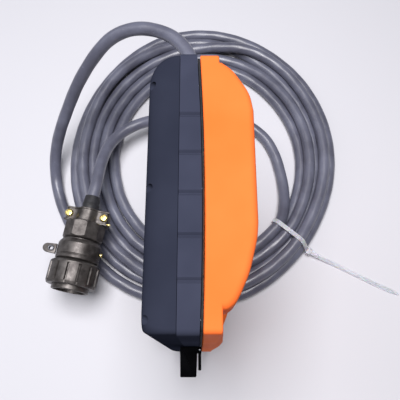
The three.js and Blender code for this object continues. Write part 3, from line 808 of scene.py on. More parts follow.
def front_shell():
    rings = []
    for t in np.linspace(1, 0, 24):
        share = 1 - math.cos(t * math.pi / 2)
        cable_end = HALF_LENGTH - ROLL_CABLE * share
        clip_end = HALF_LENGTH - ROLL_CLIP * share ** 2  # tight, close to the face
        x = BAND_X + (FACE_X - BAND_X) * math.sin(t * math.pi / 2)
        rings.append(rounded_ring(x, (cable_end + clip_end) / 2, HALF_WIDTH - ROLL_SIDE * share,
                                  CORNER + ROLL_CORNER * share, (cable_end - clip_end) / 2))
    shell = piece("front_shell", stack(rings), charcoal_abs,
                  replaces=["front_housing"])
    inner = (HALF_LENGTH - 3.5, HALF_WIDTH - 3.5, CORNER)
    skirt = stack([outline_at(BAND_X - 2, *inner), outline_at(-0.9, *inner, bow=1)])
    carve(shell, [skirt], "UNION")
    hollow = levels([(-30.5, 64, 118, 6), (-22, 74, 124, 6), (1, 74, 124, 6)])
    recess = levels([(-34, 49.5, 82.5, 3), (-31.2, 49.5, 82.5, 3)])
    opening = levels([(-34, 44, 77, 2), (-29, 44, 77, 2)])
    cutters = [hollow, moved(recess, across_face(WINDOW_Y, WINDOW_Z)),
               moved(opening, across_face(WINDOW_Y, WINDOW_Z)),
               rod(11.3, -34, -29, STOP_Y, STOP_Z), rod(8.3, -34, -29, SELECTOR_Y, SELECTOR_Z),
               cable_outlet()]
    for y, z in SOFT_KEYS + JOG_KEYS:
        key_hole = levels([(-34, 5.8, 7.3, 2.5), (-29, 5.8, 7.3, 2.5)])
        lip = levels([(-33.5, 6.6, 8.1, 3.2), (-32.6, 5.8, 7.3, 2.5), (-32, 5.8, 7.3, 2.5)])
        cutters += [moved(cut, across_face(y, z)) for cut in (key_hole, lip)]
    for y in SCREWS_Y:
        for z in (-SCREW_Z, SCREW_Z):
            cutters += [rod(2.7, -34, -24, y, z), rod(1.7, -25, 1, y, z, 20)]
    return carve(shell, cutters)


front = front_shell()
print("front shell:", len(front.data.polygons), "faces after cutting")

# %% [markdown]
# The bumper band is a separate soft ring over the join. It stands less than a millimetre proud
# and has a V-shaped groove every 24 mm on its short sides, which lets it flex. The ring is one
# section, pushed round the housing's outline. Extra points at each groove let the outline dip
# in, so the grooves are part of the shape and not painted on.

# %% Bumper band
GROOVES_Y = (-53.8, -30.0, -6.2, 17.6, 41.4)
GROOVE_DEPTH, GROOVE_HALF = 1.3, 1.45


def band_outline(half_y, half_z, radius, dips):
    """The band's outline as (y, z), with points kept ready at every groove."""
    points = rounded_box(half_y, half_z, radius, 10)
    result = []
    for a, b in zip(points, np.roll(points, -1, axis=0)):
        result.append(a)
        if abs(a[1] - b[1]) > 1e-6 or abs(a[1]) < half_z - 1e-6:
            continue
        ahead = math.copysign(1, b[0] - a[0])
        for y in [g - MIDDLE_Y for g in GROOVES_Y[::int(ahead)]]:
            for offset, depth in ((-GROOVE_HALF - 0.25, 0), (-GROOVE_HALF, 0.12),
                                  (-0.2, 1), (0.2, 1), (GROOVE_HALF, 0.12),
                                  (GROOVE_HALF + 0.25, 0)):
                dip = dips * GROOVE_DEPTH * depth
                result.append((y + ahead * offset, math.copysign(half_z - dip, a[1])))
    return np.array(result)


def bumper_band():
    rings = []
    outer_y, outer_z = HALF_LENGTH + 0.8, HALF_WIDTH + 0.8
    rolls = [(math.sin(a), 1 - math.cos(a)) for a in np.linspace(0, math.pi / 2, 5)]
    section = [(-13.7, 3.4, 0, 0)]
    section += [(-13.7 + 0.7 * (1 - s), 0.7 * (1 - s), 1, 0) for s, c in rolls]
    section += [(-0.9 - 0.7 * (1 - s), 0.7 * (1 - s), 1, 1) for s, c in rolls[::-1]]
    section += [(-0.9, 3.4, 0, 1)]
    for x, inset, dips, bow in section:
        flat = band_outline(outer_y - inset, outer_z - inset, CORNER + 0.8, dips) + (MIDDLE_Y, 0)
        rings.append(np.column_stack([x - bow * seam_bow(flat[:, 0]), flat]))
    band = piece("bumper_band_ring", stack(rings, closed=True), band_tpe,
                 replaces=["bumper_band"], sharp_deg=28)
    return carve(band, [cable_outlet()], sharp_deg=28)


band = bumper_band()
GASKET_SECTION = ((-0.6, 4.2), (-0.6, 1.3), (-0.4, 1.2), (0.4, 1.2), (0.6, 1.3), (0.6, 4.2))
gasket_rings = [outline_at(x, HALF_LENGTH - inset, HALF_WIDTH - inset, CORNER, bow=1)
                for x, inset in GASKET_SECTION]
piece("case_gasket_ring", stack(gasket_rings, closed=True), neoprene,
      replaces=["case_gasket"])
print("bumper band:", len(band.data.polygons), "faces, and the gasket behind it")

# %% [markdown]
# The rear shell is a shallow tray with two hand grips moulded on. Its back is crowned: it
# thickens by 4 mm from the sides to the middle. Each grip's side view has a heel, a finger
# slope, a straight crest and a palm slope. That side view is pulled across the grip's width
# with a 4 mm round on both edges, and then joined to the tray, so that the crease where the
# grip leaves the tray is a real one.

# %% Rear shell
# the crown's outlines, as (x, inset along Y, inset along Z)
CROWN = ((10.7, 1.05, 26), (11.7, 1.1, 52), (12.8, 1.2, 78), (13.8, 1.4, 104))
GRIP_INNER_Z = 106.5
BAR_X, BAR_HALF = (12.3, 22.2), 33.5


def curve(points):
    """A smooth curve through points of (x, y), in steps of 1.6 mm."""
    flat = [(x, y, 0.0) for x, y in points]
    return smooth_line(flat, 1.6)[:, :2].tolist()


def grip_side():
    """A grip's side view."""
    finger = curve([(19.4, -59.5), (23.8, -49.3), (26.4, -40), (28.7, -30.3), (29.6, -22)])
    palm = curve([(29.3, 46), (27.2, 56.5), (22.9, 64.8), (17.2, 73.2), (11.2, 78.2)])
    heel = curve([(8.5, -68.4), (12.5, -67.8), (16.4, -64.6), (19.4, -59.5)])
    return [(3, -68.4)] + heel[:-1] + finger + palm + [(3, 78.2)]


def span(side, inner, outer):
    """A stretch along Z on the near side (1) or mirrored to the far side (-1)."""
    return (inner, outer) if side > 0 else (-outer, -inner)


def rear_shell():
    rings = [outline_at(0.9, HALF_LENGTH - 0.5, HALF_WIDTH - 0.5, CORNER - 0.5, bow=1),
             outline_at(1.4, HALF_LENGTH, HALF_WIDTH, CORNER, bow=1)]
    for t in np.linspace(0, 1, 6):
        inset = 1 - math.cos(t * math.pi / 2)
        rings.append(outline_at(8.4 + 1.2 * math.sin(t * math.pi / 2), HALF_LENGTH - inset,
                                HALF_WIDTH - inset, CORNER - 0.5 * inset))
    for x, inset_y, inset_z in CROWN:
        rings.append(outline_at(x, HALF_LENGTH - inset_y, HALF_WIDTH - inset_z, CORNER - 0.5))
    shell = piece("rear_shell", stack(rings), orange_abs,
                  replaces=["rear_housing"])
    grips = [pulled(grip_side(), *span(side, GRIP_INNER_Z, HALF_WIDTH), 4, 7)
             for side in (-1, 1)]
    carve(shell, grips, "UNION")
    cutters = [levels([(0, 74, 124, 6), (7.1, 74, 124, 6)])]
    for side in (-1, 1):
        cutters.append(block((0, 22.5), (-37, 44), span(side, GRIP_INNER_Z + 3, 124), 1.5))
        cutters.append(block((BAR_X[0] - 0.3, BAR_X[1] + 0.3), (-BAR_HALF - 0.3, BAR_HALF + 0.3),
                             span(side, GRIP_INNER_Z - 1, GRIP_INNER_Z + 4), 1.2))
        cutters += [rod(1.7, 0, 7, y, side * SCREW_Z, 20) for y in SCREWS_Y]
    return carve(shell, cutters)


rear = rear_shell()
print("rear shell:", len(rear.data.polygons), "faces")

# %% [markdown]
# ## The operator's face
#
# The display looks out through a smoked acrylic window, bonded into a recess. It is one flat
# plate with polished edges. Around it sit silicone keys, a stop button and a mode selector. The
# keys share one mould: a cap with a dished top that rises from a wide foot, which holds it
# behind the shell. Each key rides on its own body, so that it can be pressed.

# %% Window and keys
window, window_tree, window_shader = new_finish("window_smoked_acrylic", IOR=1.49,
                                                Coat_Weight=0.5, Coat_Roughness=0.03)
window_at = where(window_tree)
window_tree.links.new(mottle(window_tree, window_at, 90, "#0a0d13", "#121823"),
                      window_shader.inputs["Base Color"])
vary(window_tree, window_at, window_shader, 30, 0.04, 0.1)
WINDOW_PLATE = [(-31.5, 49.2, 82.2, 3), (-32.6, 49.2, 82.2, 3), (-32.9, 48.9, 81.9, 2.7)]
piece("display_window_plate", moved(levels(WINDOW_PLATE), across_face(WINDOW_Y, WINDOW_Z)),
      window, replaces=["display_window"])

KEY_HALF = (5.5, 7.0)
KEY_TOP = -34.6


def key_shape():
    """A dished cap with a rounded rim, on its foot."""
    half_y, half_z = KEY_HALF
    foot = [(-28.8, half_y + 1.5, half_z + 1.5, 2.5), (-30.2, half_y + 1.5, half_z + 1.5, 2.5)]
    cap = [(-30.2, half_y, half_z, 2.5), (KEY_TOP + 1.0, half_y, half_z, 2.5)]
    for t in np.linspace(0.2, 1, 5):
        inset = 1.0 * (1 - math.cos(t * math.pi / 2))
        cap.append((KEY_TOP + 1 - math.sin(t * math.pi / 2), half_y - inset, half_z - inset,
                    2.5 - 0.6 * inset))
    dish = [(KEY_TOP + 0.12, half_y - 1.7, half_z - 1.7, 1.4),
            (KEY_TOP + 0.3, half_y - 2.6, half_z - 2.8, 1.0)]
    return levels(foot + cap + dish, 6)


for family, keys in (("soft_key", SOFT_KEYS), ("jog_key", JOG_KEYS)):
    for number, (y, z) in enumerate(keys, 1):
        name = f"{family}_{number}"
        piece(f"{name}_cap", moved(key_shape(), across_face(y, z)), key_silicone,
              name, replaces=[name])
print(len(SOFT_KEYS) + len(JOG_KEYS), "keys")

# %% [markdown]
# The stop button is a red mushroom head on a black stem, in a yellow collar. All three are
# turned shapes, so each is a rounded outline on the lathe. Three low ridges on the head give a
# thumb the grip to twist it free. The selector is a black knob with a raised bar and a white
# index line, in a plain bezel.

# %% Stop button and selector
stop_axis = x_axis(STOP_Y, STOP_Z)
collar = rounded([(6.4, -35.5), (15, -35.5), (19, -34.6), (19, -33.3), (11, -33.3), (11, -25.3),
                  (6.4, -25.3)], 0.5, closed=True)
piece("estop_collar_ring", moved(lathe(collar, 72, closed=True), stop_axis), collar_yellow,
      replaces=["estop_collar"])
stem = rounded([(5.6, -42), (6, -41.5), (6, -26.4), (5.6, -26)], 0.3)
piece("estop_stem_turned", moved(lathe(stem, 48), stop_axis), black_nylon,
      "estop_stem", replaces=["estop_stem"])
head = rounded([(1.0, -53), (9, -52.4), (14, -50.4), (16, -47.6), (16, -43.6), (14.5, -42.3),
                (7, -42.3)], 1.6)
ridges = []
for third in range(3):
    spin = Matrix.Rotation(third * 2 * math.pi / 3, 4, "Y")
    ridge = block((-6, 6), (-52.6, -50.4), (9.6, 11.2), 0.7)
    ridges.append(moved(moved(ridge, spin), stop_axis))
stop_head = piece("estop_head_cap", moved(lathe(head, 96), stop_axis), stop_red,
                  "estop_head", replaces=["estop_head"])
carve(stop_head, ridges, "UNION")

selector_axis = x_axis(SELECTOR_Y, SELECTOR_Z)
bezel = rounded([(4.4, -35), (12, -35), (13, -33.3), (8, -33.3), (8, -26), (4.4, -26)], 0.5,
                closed=True)
piece("selector_bezel_ring", moved(lathe(bezel, 64, closed=True), selector_axis), black_nylon,
      replaces=["selector_bezel"])
knob_outline = rounded([(8.2, -38.5), (9, -38), (10, -35.3), (4, -35.3), (4, -26.3)], 0.5)
knob = piece("selector_knob_turned", moved(lathe(knob_outline, 64), selector_axis), black_nylon,
             "selector_knob", replaces=["selector_knob"])
carve(knob, [block((-45.5, -37), (SELECTOR_Y - 9, SELECTOR_Y + 9),
                   (SELECTOR_Z - 3, SELECTOR_Z + 3), 1.2)], "UNION")
index_white = plain_finish("index_line_white_ink", "#d8d8d6", "#e6e6e4", 3, (0.4, 0.5), 0.5,
                           0.01, IOR=1.5)
piece("selector_index_line", block((-45.62, -45.4), (SELECTOR_Y + 1, SELECTOR_Y + 8),
                                   (SELECTOR_Z - 0.5, SELECTOR_Z + 0.5), 0.1),
      index_white, "selector_knob")
print("stop button and selector")

# %% [markdown]
# Each grip holds an enabling bar on its inner flank, where the fingers close on it. It is a
# rounded bar with a row of finger ribs. The bar and its ribs are joined into one shape.

# %% Enabling bars
RIB_PITCH = 5.0
for place_name, side in (("near", 1), ("far", -1)):
    bar_shape = block(BAR_X, (-BAR_HALF, BAR_HALF), span(side, 103.5, 111.5), 1.4)
    bar = piece(f"enabling_bar_{place_name}_moulding", bar_shape, black_nylon,
                f"enabling_bar_{place_name}", replaces=[f"enabling_bar_{place_name}"])
    ribs = [block((BAR_X[0] + 1.2, BAR_X[1] - 1.2), (y - 0.7, y + 0.7), span(side, 103.0, 105.0),
                  0.35) for y in np.arange(-27.5, 28, RIB_PITCH)]
    flange = block((13.3, 21.2), (-35.5, 35.5), span(side, 109.8, 111.5), 0.5)
    carve(bar, ribs + [flange], "UNION")
print("two enabling bars")

# %% [markdown]
# The clip hangs the pendant on a rail: a fixed tongue and a thin blade that springs against it,
# hinged on a steel pin. Both are black glass-filled nylon with small moulded radii. From above
# the two show as a thick bar, a slit of light and a thin bar. The tongue narrows a little
# towards its free end, as a moulded part must to leave its tool. Two ears on the tongue carry
# the pin.

# %% Clip
CLIP_HALF = 16.0


def tapered_tongue():
    """The tongue, drawn from its side view."""
    side_view = rounded([(-16.5, -81.5), (-16.1, -102.4), (-4.7, -102.4), (-4.1, -81.5)], 0.9,
                        closed=True)
    return pulled(side_view, -CLIP_HALF, CLIP_HALF, 0.9, 4)


tongue = piece("clip_tongue_moulding", tapered_tongue(), black_nylon,
               replaces=["hanging_tongue"])
ears = [block((-5.4, -0.9), (-85.4, -81.5), span(side, 13.6, CLIP_HALF), 0.6)
        for side in (-1, 1)]
carve(tongue, ears, "UNION")
pin_axis = z_axis(-2.2, -83.6)
pin_hole = moved(lathe([(0.95, -20), (0.95, 20)], 32), pin_axis)
carve(tongue, [pin_hole])
blade_view = rounded([(-3.3, -97.8), (-1.1, -97.8), (-1.1, -83.6), (-0.7, -83.6), (-0.7, -82.2),
                      (-3.7, -82.2), (-3.7, -85.0), (-3.3, -85.4)], 0.7, closed=True)
blade = piece("clip_blade_moulding", pulled(blade_view, -13.2, 13.2, 0.5, 3), black_nylon,
              "clip_blade", replaces=["clip_blade"])
carve(blade, [pin_hole])
pin = rounded([(0.4, -15.8), (0.7, -15.5), (0.7, 15.5), (0.4, 15.8)], 0.2)
piece("clip_pin_turned", moved(lathe(pin, 32), pin_axis), steel,
      replaces=["clip_pin"])
print("clip, blade and pin")

# %% [markdown]
# The cable leaves through a nylon gland. Its nut is a hexagon with its corners turned off, and
# the strain relief is a tapered rubber sleeve with ring-shaped slots that make it bend evenly.
# The slots are part of the lathe outline.

# %% Gland and strain relief
outlet = Matrix.Translation((OUTLET_X, 0, 0))
gland = rounded([(4.7, 72), (4.7, 83.9), (12, 83.9), (12, 87.3), (5, 87.3)], 0.4)
piece("gland_body_turned", moved(lathe(gland, 64), outlet), black_nylon,
      replaces=["gland_body"])


def gland_nut(radius, low, high, chamfer):
    """A hexagon prism with its ends' corners turned off, as real nuts have."""
    nut = piece("gland_nut_turned", moved(lathe([(radius, low), (radius, high)], 6), outlet),
                black_nylon, replaces=["gland_nut"])
    inner = radius * math.cos(math.pi / 6)
    turned = lathe([(inner, low - 0.01), (radius + 0.3, low + chamfer),
                    (radius + 0.3, high - chamfer), (inner, high + 0.01)], 96)
    return carve(nut, [moved(turned, outlet)], "INTERSECT", sharp_deg=25)


gland_nut(12.5, 87.6, 98.6, 1.6)


def relief_outline():
    """The sleeve's outline: a collar, six slots in a slow taper and a rounded end."""
    points = [(6.7, 98.9), (9.8, 98.9), (9.8, 102)]
    for start in np.arange(104.0, 140.0, 6.0):
        outer = 9.7 - (start - 104) * 0.046
        points += [(outer, start), (outer - 1.3, start + 0.4), (outer - 1.3, start + 2.2),
                   (outer - 0.1, start + 2.6)]
    return points + [(8.0, 142.5), (7.6, 145.0), (6.7, 145.0)]


relief = rounded(relief_outline(), 0.35, closed=True, steps=3)
piece("strain_relief_sleeve", moved(lathe(relief, 64, closed=True), outlet), boot_rubber,
      replaces=["strain_relief"])
print("gland and strain relief")

# %% [markdown]
# Six cap-head screws hold the shells together. They sit deep in their wells, so a turned head
# with a hexagon socket is all that shows.

# %% Case screws
screw_outline = rounded([(2.0, -27), (2.4, -26.7), (2.4, -24.3), (1.4, -24.3), (1.4, 6.5)], 0.3)
for row, z in (("near", SCREW_Z), ("far", -SCREW_Z)):
    for number, y in enumerate(SCREWS_Y, 1):
        name = f"case_screw_{row}_{number}"
        screw = piece(f"{name}_turned", moved(lathe(screw_outline, 32), x_axis(y, z)), steel,
                      replaces=[name])
        carve(screw, [moved(lathe([(1.25, -28), (1.25, -25.4)], 6), x_axis(y, z))])
print("six case screws")

# %% [markdown]
# ## The plug
#
# The plug is a round military-style connector: a keyed shell with an insert, a fluted coupling
# ring that turns on it, a body with a lug for the dust cap's chain, a ten-sided backshell nut
# and a cable clamp with two brass screws. Everything is turned or milled about one axis, so
# each piece is drawn along +Y from the mating end and then laid where the plug lies. The real
# plug is 6 % shorter than this drawing, so the last step closes it up along its axis.

# %% Plug body
PLUG_FRONT = (-134.0, -23.0, 52.6)  # mating end, with its height above the table
PLUG_SHARE = 0.94  # the true length, as a share of the drawn one
plug_axis = (Matrix.Translation((PLUG_FRONT[0], PLUG_FRONT[1], FLOOR + PLUG_FRONT[2]))
             @ Matrix.Rotation(-PLUG_HEADING, 4, "Z"))
plug_at = plug_axis @ Matrix.Diagonal((1, PLUG_SHARE, 1, 1))


def plug_piece(name, shape, finish, replaces=(), body="station", sharp_deg=30.0):
    """A piece drawn along the plug's axis."""
    made = piece(name, moved(shape, plug_at), finish, body, replaces, sharp_deg)
    return made


shell_outline = rounded([(16.2, 0), (18.2, 0), (18.7, 0.6), (18.7, 31), (16.2, 31)], 0.4,
                        closed=True)
plug_shell = plug_piece("plug_shell_turned", lathe(shell_outline, 96, closed=True), olive_plate,
                        ["plug_shell"])
keyways = [moved(block((-1.6, 1.6), (-0.6, 8), (15.4, 17.2), 0.3),
                 plug_at @ Matrix.Rotation(math.radians(turn), 4, "Y"))
           for turn in (0, 105, 140, 215, 265)]
carve(plug_shell, keyways)

insert_black = plain_finish("insert_black_resin", "#101012", "#1c1c20", 5, (0.4, 0.55), 0.4,
                            0.02, IOR=1.55)
insert_outline = rounded([(15.5, 4), (15.9, 4.4), (15.9, 30)], 0.3)
insert = plug_piece("plug_insert_moulding", lathe(insert_outline, 72), insert_black,
                    ["plug_insert"])
SOCKET_RINGS = ((4.6, 6), (8.8, 12), (13.0, 18))
sockets = []
for ring_radius, count in SOCKET_RINGS:
    for step in range(count):
        angle = step * 2 * math.pi / count
        hole = moved(lathe([(0.85, 2), (0.85, 9)], 12),
                     Matrix.Translation((ring_radius * math.cos(angle), 0,
                                         ring_radius * math.sin(angle))))
        sockets.append(moved(hole, plug_at))
carve(insert, sockets)
print("insert with", sum(count for _, count in SOCKET_RINGS), "socket holes")

# %% [markdown]
# The coupling ring's grip is a row of wide flats with narrow grooves between them. Its outline
# is drawn once round as a curve: full radius, except near each of the 14 grooves. Rings of that
# outline are stacked along the axis, smaller at both ends for the chamfers.

# %% Coupling ring
FLUTES, RING_R, FLUTE_DEPTH = 14, 25.7, 2.2
RING_BORE_R = 19.1
# the ring's outline, as (y, inset from the full radius, depth of the grooves as a share)
RING_OUTLINE = ((5.0, 3.2, 0), (5.0, 1.6, 0), (5.5, 0.9, 0), (8.0, 0.1, 0.2), (8.4, 0, 1),
                (26.6, 0, 1), (27.0, 0.05, 0), (28.6, 0.2, 0), (29.6, 1.0, 0), (31.0, 3.0, 0),
                (31.4, 4.0, 0))


def ring_radius_at(angle, depth):
    """The ring's outer radius; depth fades the grooves out at the ends."""
    part = (angle * FLUTES / (2 * math.pi)) % 1.0
    away = np.abs(part - 0.5)
    groove = np.clip((0.1 - away) / 0.04, 0, 1)
    return RING_R - depth * FLUTE_DEPTH * groove * groove * (3 - 2 * groove)


def coupling_ring():
    """The outside from the mating end back, then the bore on the way home."""
    sides = FLUTES * 24
    angles = np.arange(sides) * 2 * math.pi / sides
    walls = [(y, ring_radius_at(angles, depth) - inset) for y, inset, depth in RING_OUTLINE]
    walls += [(y, RING_BORE_R) for y in (RING_OUTLINE[-1][0], RING_OUTLINE[0][0])]
    rings = [np.column_stack([radius * np.cos(angles), np.full(sides, y),
                              radius * np.sin(angles)]) for y, radius in walls]
    return stack(rings, closed=True)


plug_piece("plug_coupling_ring_fluted", coupling_ring(), olive_plate,
           ["plug_coupling_ring"], "coupling_ring")
print("coupling ring with", FLUTES, "grooves")

# %% [markdown]
# Behind the ring comes the plug's body, which narrows to a neck, with the lug and the eyelet
# on its left and a small screw on its right. Shallow turned steps catch the light as bright
# rings. The backshell nut has ten flats.

# %% Body, lug, side screw and backshell
body_outline = rounded([(12, 31.8), (20.2, 31.8), (22.3, 33.2), (22.3, 36.2), (21.7, 36.6),
                        (21.7, 37.4), (22.3, 37.8), (22.3, 49.6), (21.2, 52.2), (19.5, 54.2),
                        (19.5, 55.2), (12, 55.2)], 0.35, closed=True)
plug_piece("plug_body_turned", lathe(body_outline, 96, closed=True), olive_plate,
           ["plug_body"])


LUG_HOLE = (-27.6, 42)


def cap_lug():
    """A flat tab with a round end."""
    arc = [(-31.6 + 5 * math.cos(a), 42 + 5 * math.sin(a))
           for a in np.linspace(math.pi / 2, 3 * math.pi / 2, 12)]
    return pulled([(-22.6, 47.5)] + arc + [(-22.6, 36.5)], 3, 6.2, 0.5, 3)


lug = plug_piece("plug_cap_lug_plate", cap_lug(), olive_plate, ["plug_cap_lug"])
carve(lug, [moved(lathe([(2.0, -10), (2.0, 20)], 32), plug_at @ z_axis(*LUG_HOLE))])
eyelet = rounded([(1.9, 5.6), (3.3, 5.6), (3.3, 7.0), (2.6, 7.4), (1.9, 7.0)], 0.3, closed=True)
plug_piece("plug_lug_eyelet", moved(lathe(eyelet, 32, closed=True), z_axis(*LUG_HOLE)), steel)


def cross_recess(radius, low, high):
    """The cutters for a cross-head screw: two crossed bars, 1 mm wide."""
    bars = ((radius, 0.5), (0.5, radius))
    return [pulled([(-x, -y), (x, -y), (x, y), (-x, y)], low, high) for x, y in bars]


side_outline = rounded([(1.7, 22.7), (2.2, 22.9), (2.2, 24.8), (1.6, 25.3)], 0.3)
side_screw = plug_piece("plug_side_screw_turned", moved(lathe(side_outline, 32), x_axis(43, 3)),
                        screw_brass, ["plug_side_screw"])
slot_cut = block((24.8, 26), (42.6, 43.4), (0, 6), 0.05)
carve(side_screw, [moved(slot_cut, plug_at)])


NUT_R, NUT_FLATS = 21.4, 10


def backshell():
    """A ten-sided nut with its corners turned off and a bore for the cable."""
    nut = plug_piece("plug_backshell_nut_milled",
                     lathe([(NUT_R, 56.2), (NUT_R, 75.6)], NUT_FLATS), olive_plate,
                     ["plug_backshell_nut"], sharp_deg=20)
    inner = NUT_R * math.cos(math.pi / NUT_FLATS)
    turned = lathe([(inner - 1.4, 56.2), (inner, 57.4), (NUT_R + 0.2, 59), (NUT_R + 0.2, 73.4),
                    (inner, 75.0), (inner - 0.8, 75.6)], 96)
    carve(nut, [moved(turned, plug_at)], "INTERSECT", sharp_deg=20)
    return carve(nut, [moved(lathe([(11, 50), (11, 80)], 48), plug_at)], sharp_deg=20)


backshell()
print("body, lug, screw and backshell")

# %% [markdown]
# The cable clamp is a saddle in two halves, pulled together by two cross-head screws. Its upper
# bar has a raised hump over the cable, with a thin rim along both edges, and a small brass stud
# on its right. The rubber boot under it grips the cable and sticks out as a dark collar.

# %% Cable clamp and boot
CLAMP_SCREWS, CLAMP_Y = (-18.5, 18.5), 84
cable_way = lathe([(9, 70), (9, 99)], 48)


def clamp_holes():
    """The cutters for the two screw holes, 3.6 mm across."""
    hole = lathe([(1.8, -30), (1.8, 30)], 24)
    return [moved(moved(hole, z_axis(x, CLAMP_Y)), plug_at) for x in CLAMP_SCREWS]


seat = plug_piece("plug_clamp_seat_casting", block((-22.2, 22.2), (76, 92), (-12, 2), 2.0),
                  olive_plate, ["plug_clamp_seat"])
carve(seat, [moved(cable_way, plug_at)] + clamp_holes())


def clamp_slice(low, high, grow, edge):
    """A slice of the clamp's bar: two flat feet and a low arch, its end view grown a little."""
    arch = [(x, 6.2 + grow + 6.4 * math.exp(-(x / 8.5) ** 4)) for x in np.linspace(20, -20, 41)]
    end_view = [(-21.6 - grow, 1.0), (21.6 + grow, 1.0), (21.6 + grow, 5.4 + grow)] + arch
    end_view.append((-21.6 - grow, 5.4 + grow))
    bar, faces = pulled(end_view, low, high, edge, 3)
    return bar[:, [0, 2, 1]], faces


upper = plug_piece("plug_clamp_bar_casting", clamp_slice(76.6, 91.4, 0, 0.4), olive_plate,
                   ["plug_clamp_bar"])
rims = [moved(clamp_slice(low, high, 1.1, 0.5), plug_at) for low, high in ((76, 78), (90, 92))]
carve(upper, rims, "UNION")
below = block((-30, 30), (70, 99), (-30, 2.3), 0.1)
carve(upper, [moved(cable_way, plug_at), moved(below, plug_at)] + clamp_holes())

clamp_outline = rounded([(1.5, -11), (1.5, 6.3), (4.4, 6.3), (4.4, 7.9), (3.2, 9.0), (0.6, 9.2)],
                        0.35)
for side_name, x in zip(("left", "right"), CLAMP_SCREWS):
    turn = Matrix.Rotation(0.5 * x, 4, "Z")
    screw = plug_piece(f"plug_clamp_screw_{side_name}_turned",
                       moved(lathe(clamp_outline, 40), z_axis(x, CLAMP_Y)), screw_brass,
                       [f"plug_clamp_screw_{side_name}"])
    carve(screw, [moved(cut, plug_at @ Matrix.Translation((x, CLAMP_Y, 0)) @ turn)
                  for cut in cross_recess(2.9, 7.6, 10)])

stud = rounded([(1.1, 20), (1.5, 20.4), (1.5, 24.6), (1.0, 25.2)], 0.25)
plug_piece("plug_clamp_stud", moved(lathe(stud, 24), x_axis(79, 0)), screw_brass)

boot_outline = rounded([(6.8, 62), (8.6, 62), (8.6, 96), (9.0, 98), (8.6, 100), (8.3, 105),
                        (8.0, 108.4), (6.8, 108.4)], 0.5, closed=True)
plug_piece("plug_boot_sleeve", lathe(boot_outline, 64, closed=True), boot_rubber,
           ["plug_boot"])

# %% [markdown]
# ## The cable tie
#
# The tie is a nylon strap pulled tight round six strands. A tight strap takes the shortest way
# round, which is the convex hull of the strands' circles, so the strap is drawn on that hull.
# Its head sits at the outer side, and its uncut tail runs from the head down to the table, with
# the teeth of its ratchet as a row of small steps.

# %% Strap, head and tail
STRAP_WIDE, STRAP_THICK = 4.8, 1.2


def hull(points):
    """Convex hull of 2D points, anticlockwise."""
    ordered = sorted(map(tuple, points))
    halves = []
    for run in (ordered, ordered[::-1]):
        side = []
        for p in run:
            while len(side) > 1 and ((side[-1][0] - side[-2][0]) * (p[1] - side[-2][1])
                                     - (side[-1][1] - side[-2][1]) * (p[0] - side[-2][0])) <= 0:
                side.pop()
            side.append(p)
        halves += side[:-1]
    return np.array(halves)


def strands_in_tie():
    """Where the strands cross the tie's plane, as (along the tie, height)."""
    flat = cable_line[:, :2] - TIE_MM
    along, across = flat @ ALONG_TIE, flat @ ACROSS_TIE
    found = []
    for i in np.nonzero((across[:-1] * across[1:] < 0) & (np.abs(along[:-1]) < 60))[0]:
        t = across[i] / (across[i] - across[i + 1])
        found.append((along[i] + t * (along[i + 1] - along[i]),
                      cable_line[i, 2] + t * (cable_line[i + 1, 2] - cable_line[i, 2])))
    return found


def tie_point(along, across, z):
    """A point given along the tie, across it and by its height."""
    return (*(TIE_MM + along * ALONG_TIE + across * ACROSS_TIE), z)


strands = strands_in_tie()
round_way = np.linspace(0, 2 * math.pi, 48, endpoint=False)
inner_way = hull([(a + (CABLE_R + 0.12) * math.cos(t),
                   max(z + (CABLE_R + 0.12) * math.sin(t), FLOOR + STRAP_THICK + 0.1))
                  for a, z in strands for t in round_way])
print(len(strands), "strands in the tie,", round(inner_way[:, 0].max() - inner_way[:, 0].min()),
      "mm across")


def offset(outline, distance):
    """The outline moved outwards."""
    turn = np.roll(outline, -1, axis=0) - np.roll(outline, 1, axis=0)
    turn /= np.linalg.norm(turn, axis=1)[:, None]
    return outline + distance * np.column_stack([turn[:, 1], -turn[:, 0]])


def strap():
    """The strap's section, with softened edges, pushed round the strands."""
    closed = np.vstack([inner_way, inner_way[:1]])
    steps = even_steps(np.column_stack([closed, np.zeros(len(closed))]), 1.5)[:-1, :2]
    outer = offset(steps, STRAP_THICK)
    half = STRAP_WIDE / 2
    section = ((0.06, half - 0.3), (0.0, half), (0.5, half), (1.0, half), (1.0, half - 0.3))
    rings = []
    for share, across in section + tuple((s, -a) for s, a in section[::-1]):
        way = steps * (1 - share) + outer * share
        rings.append(np.array([tie_point(a, across, z) for a, z in way]))
    return stack(rings, closed=True)


TAIL_TURN, TAIL_LENGTH = 0.23, 108.0
HEAD_ALONG = inner_way[:, 0].max() + STRAP_THICK
HEAD_Z = FLOOR + 7.0


def tail():
    """The strap's free end: out of the head, down to the table and along it."""
    way = smooth_line([(0, 0, HEAD_Z), (6, 0, HEAD_Z - 0.4), (16, 0, FLOOR + 4.2),
                       (32, 0.4, FLOOR + 1.5), (52, 0.2, FLOOR + 0.9),
                       (80, -0.4, FLOOR + 0.9), (TAIL_LENGTH, 0, FLOOR + 0.9)], 2.0)
    cos_turn, sin_turn = math.cos(TAIL_TURN), math.sin(TAIL_TURN)
    rings = []
    for number, (run, sway, z) in enumerate(way):
        half = STRAP_WIDE / 2 * min(1.0, 0.45 + (TAIL_LENGTH - run) / 14)  # narrows to a tip
        tooth = 0.5 - 0.12 * (number % 2)
        section = ((-half, -0.5), (half, -0.5), (half, 0.5), (half * 0.45, 0.5),
                   (half * 0.4, tooth), (-half * 0.4, tooth), (-half * 0.45, 0.5), (-half, 0.5))
        rings.append(np.array([tie_point(
            HEAD_ALONG + 3 + run * cos_turn - (sway + side) * sin_turn,
            run * sin_turn + (sway + side) * cos_turn, z + rise) for side, rise in section]))
    return stack(rings)


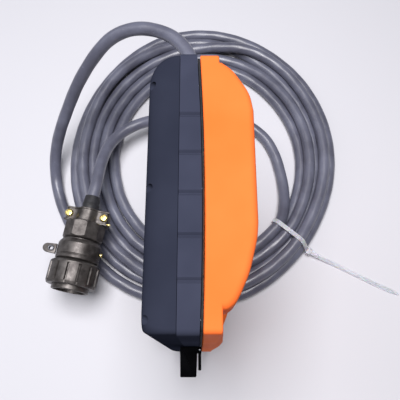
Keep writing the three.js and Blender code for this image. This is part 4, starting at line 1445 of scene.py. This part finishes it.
def tie_head():
    """The tie's head, a small block beside the outermost strand."""
    body, faces = block((0, 5.5), (-3.8, 3.8), (HEAD_Z - 3, HEAD_Z + 3), 0.9)
    return np.array([tie_point(HEAD_ALONG + a, b, z) for a, b, z in body]), faces


nylon, nylon_tree, nylon_shader = new_finish("natural_nylon_moulded", IOR=1.53,
                                             Transmission_Weight=0.6, Subsurface_Weight=0.2,
                                             Subsurface_Scale=0.002)
nylon_at = where(nylon_tree)
nylon_tree.links.new(mottle(nylon_tree, nylon_at, 12, "#eceef7", "#f7f8fd"),
                     nylon_shader.inputs["Base Color"])
vary(nylon_tree, nylon_at, nylon_shader, 5, 0.25, 0.4)
tie = piece("cable_tie_strap", strap(), nylon, replaces=["cable_tie"])
tie_head_piece = piece("cable_tie_head", tie_head(), nylon)
tie_tail = piece("cable_tie_tail", tail(), nylon)
print("tie strap, head and tail")

# %% [markdown]
# ## Pieces kept from the CAD
#
# The boards, the display module and the switch blocks are inside. Their CAD shapes are right,
# so they stay, and only get their finishes. A bare board is green solder mask over copper,
# whose tracks show as lighter lines. The display's face is a glass sheet over a dark polariser.

# %% Finishes for the inner parts
def solder_mask():
    finish, tree, shader = new_finish("board_green_solder_mask", IOR=1.55, Coat_Weight=0.4)
    tracks = add_node(tree, "TexVoronoi", {"Vector": where(tree)}, {"Scale": cycles_for(4.0)},
                      feature="DISTANCE_TO_EDGE", distance="CHEBYCHEV")
    green = two_colours(tree, tracks.outputs["Distance"], (0.06, "#3c8a55"), (0.1, "#1c5a34"))
    tree.links.new(green, shader.inputs["Base Color"])
    vary(tree, where(tree), shader, 6, 0.25, 0.4)
    return finish


display_glass = plain_finish("display_glass_polariser", "#232f38", "#2c3a44", 40, (0.06, 0.12),
                             2.0, 0.005, IOR=1.52, Coat_Weight=0.6)
board = solder_mask()
KEPT = {"lcd_panel": display_glass, "main_board": board, "key_board": board,
        "estop_contacts": switch_pbt, "selector_contacts": switch_pbt,
        "enabling_switch_near": switch_pbt, "enabling_switch_far": switch_pbt}
for node, finish in KEPT.items():
    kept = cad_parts[node]
    kept.data.materials.clear()
    kept.data.materials.append(finish)
print(len(KEPT), "CAD nodes keep their shape")
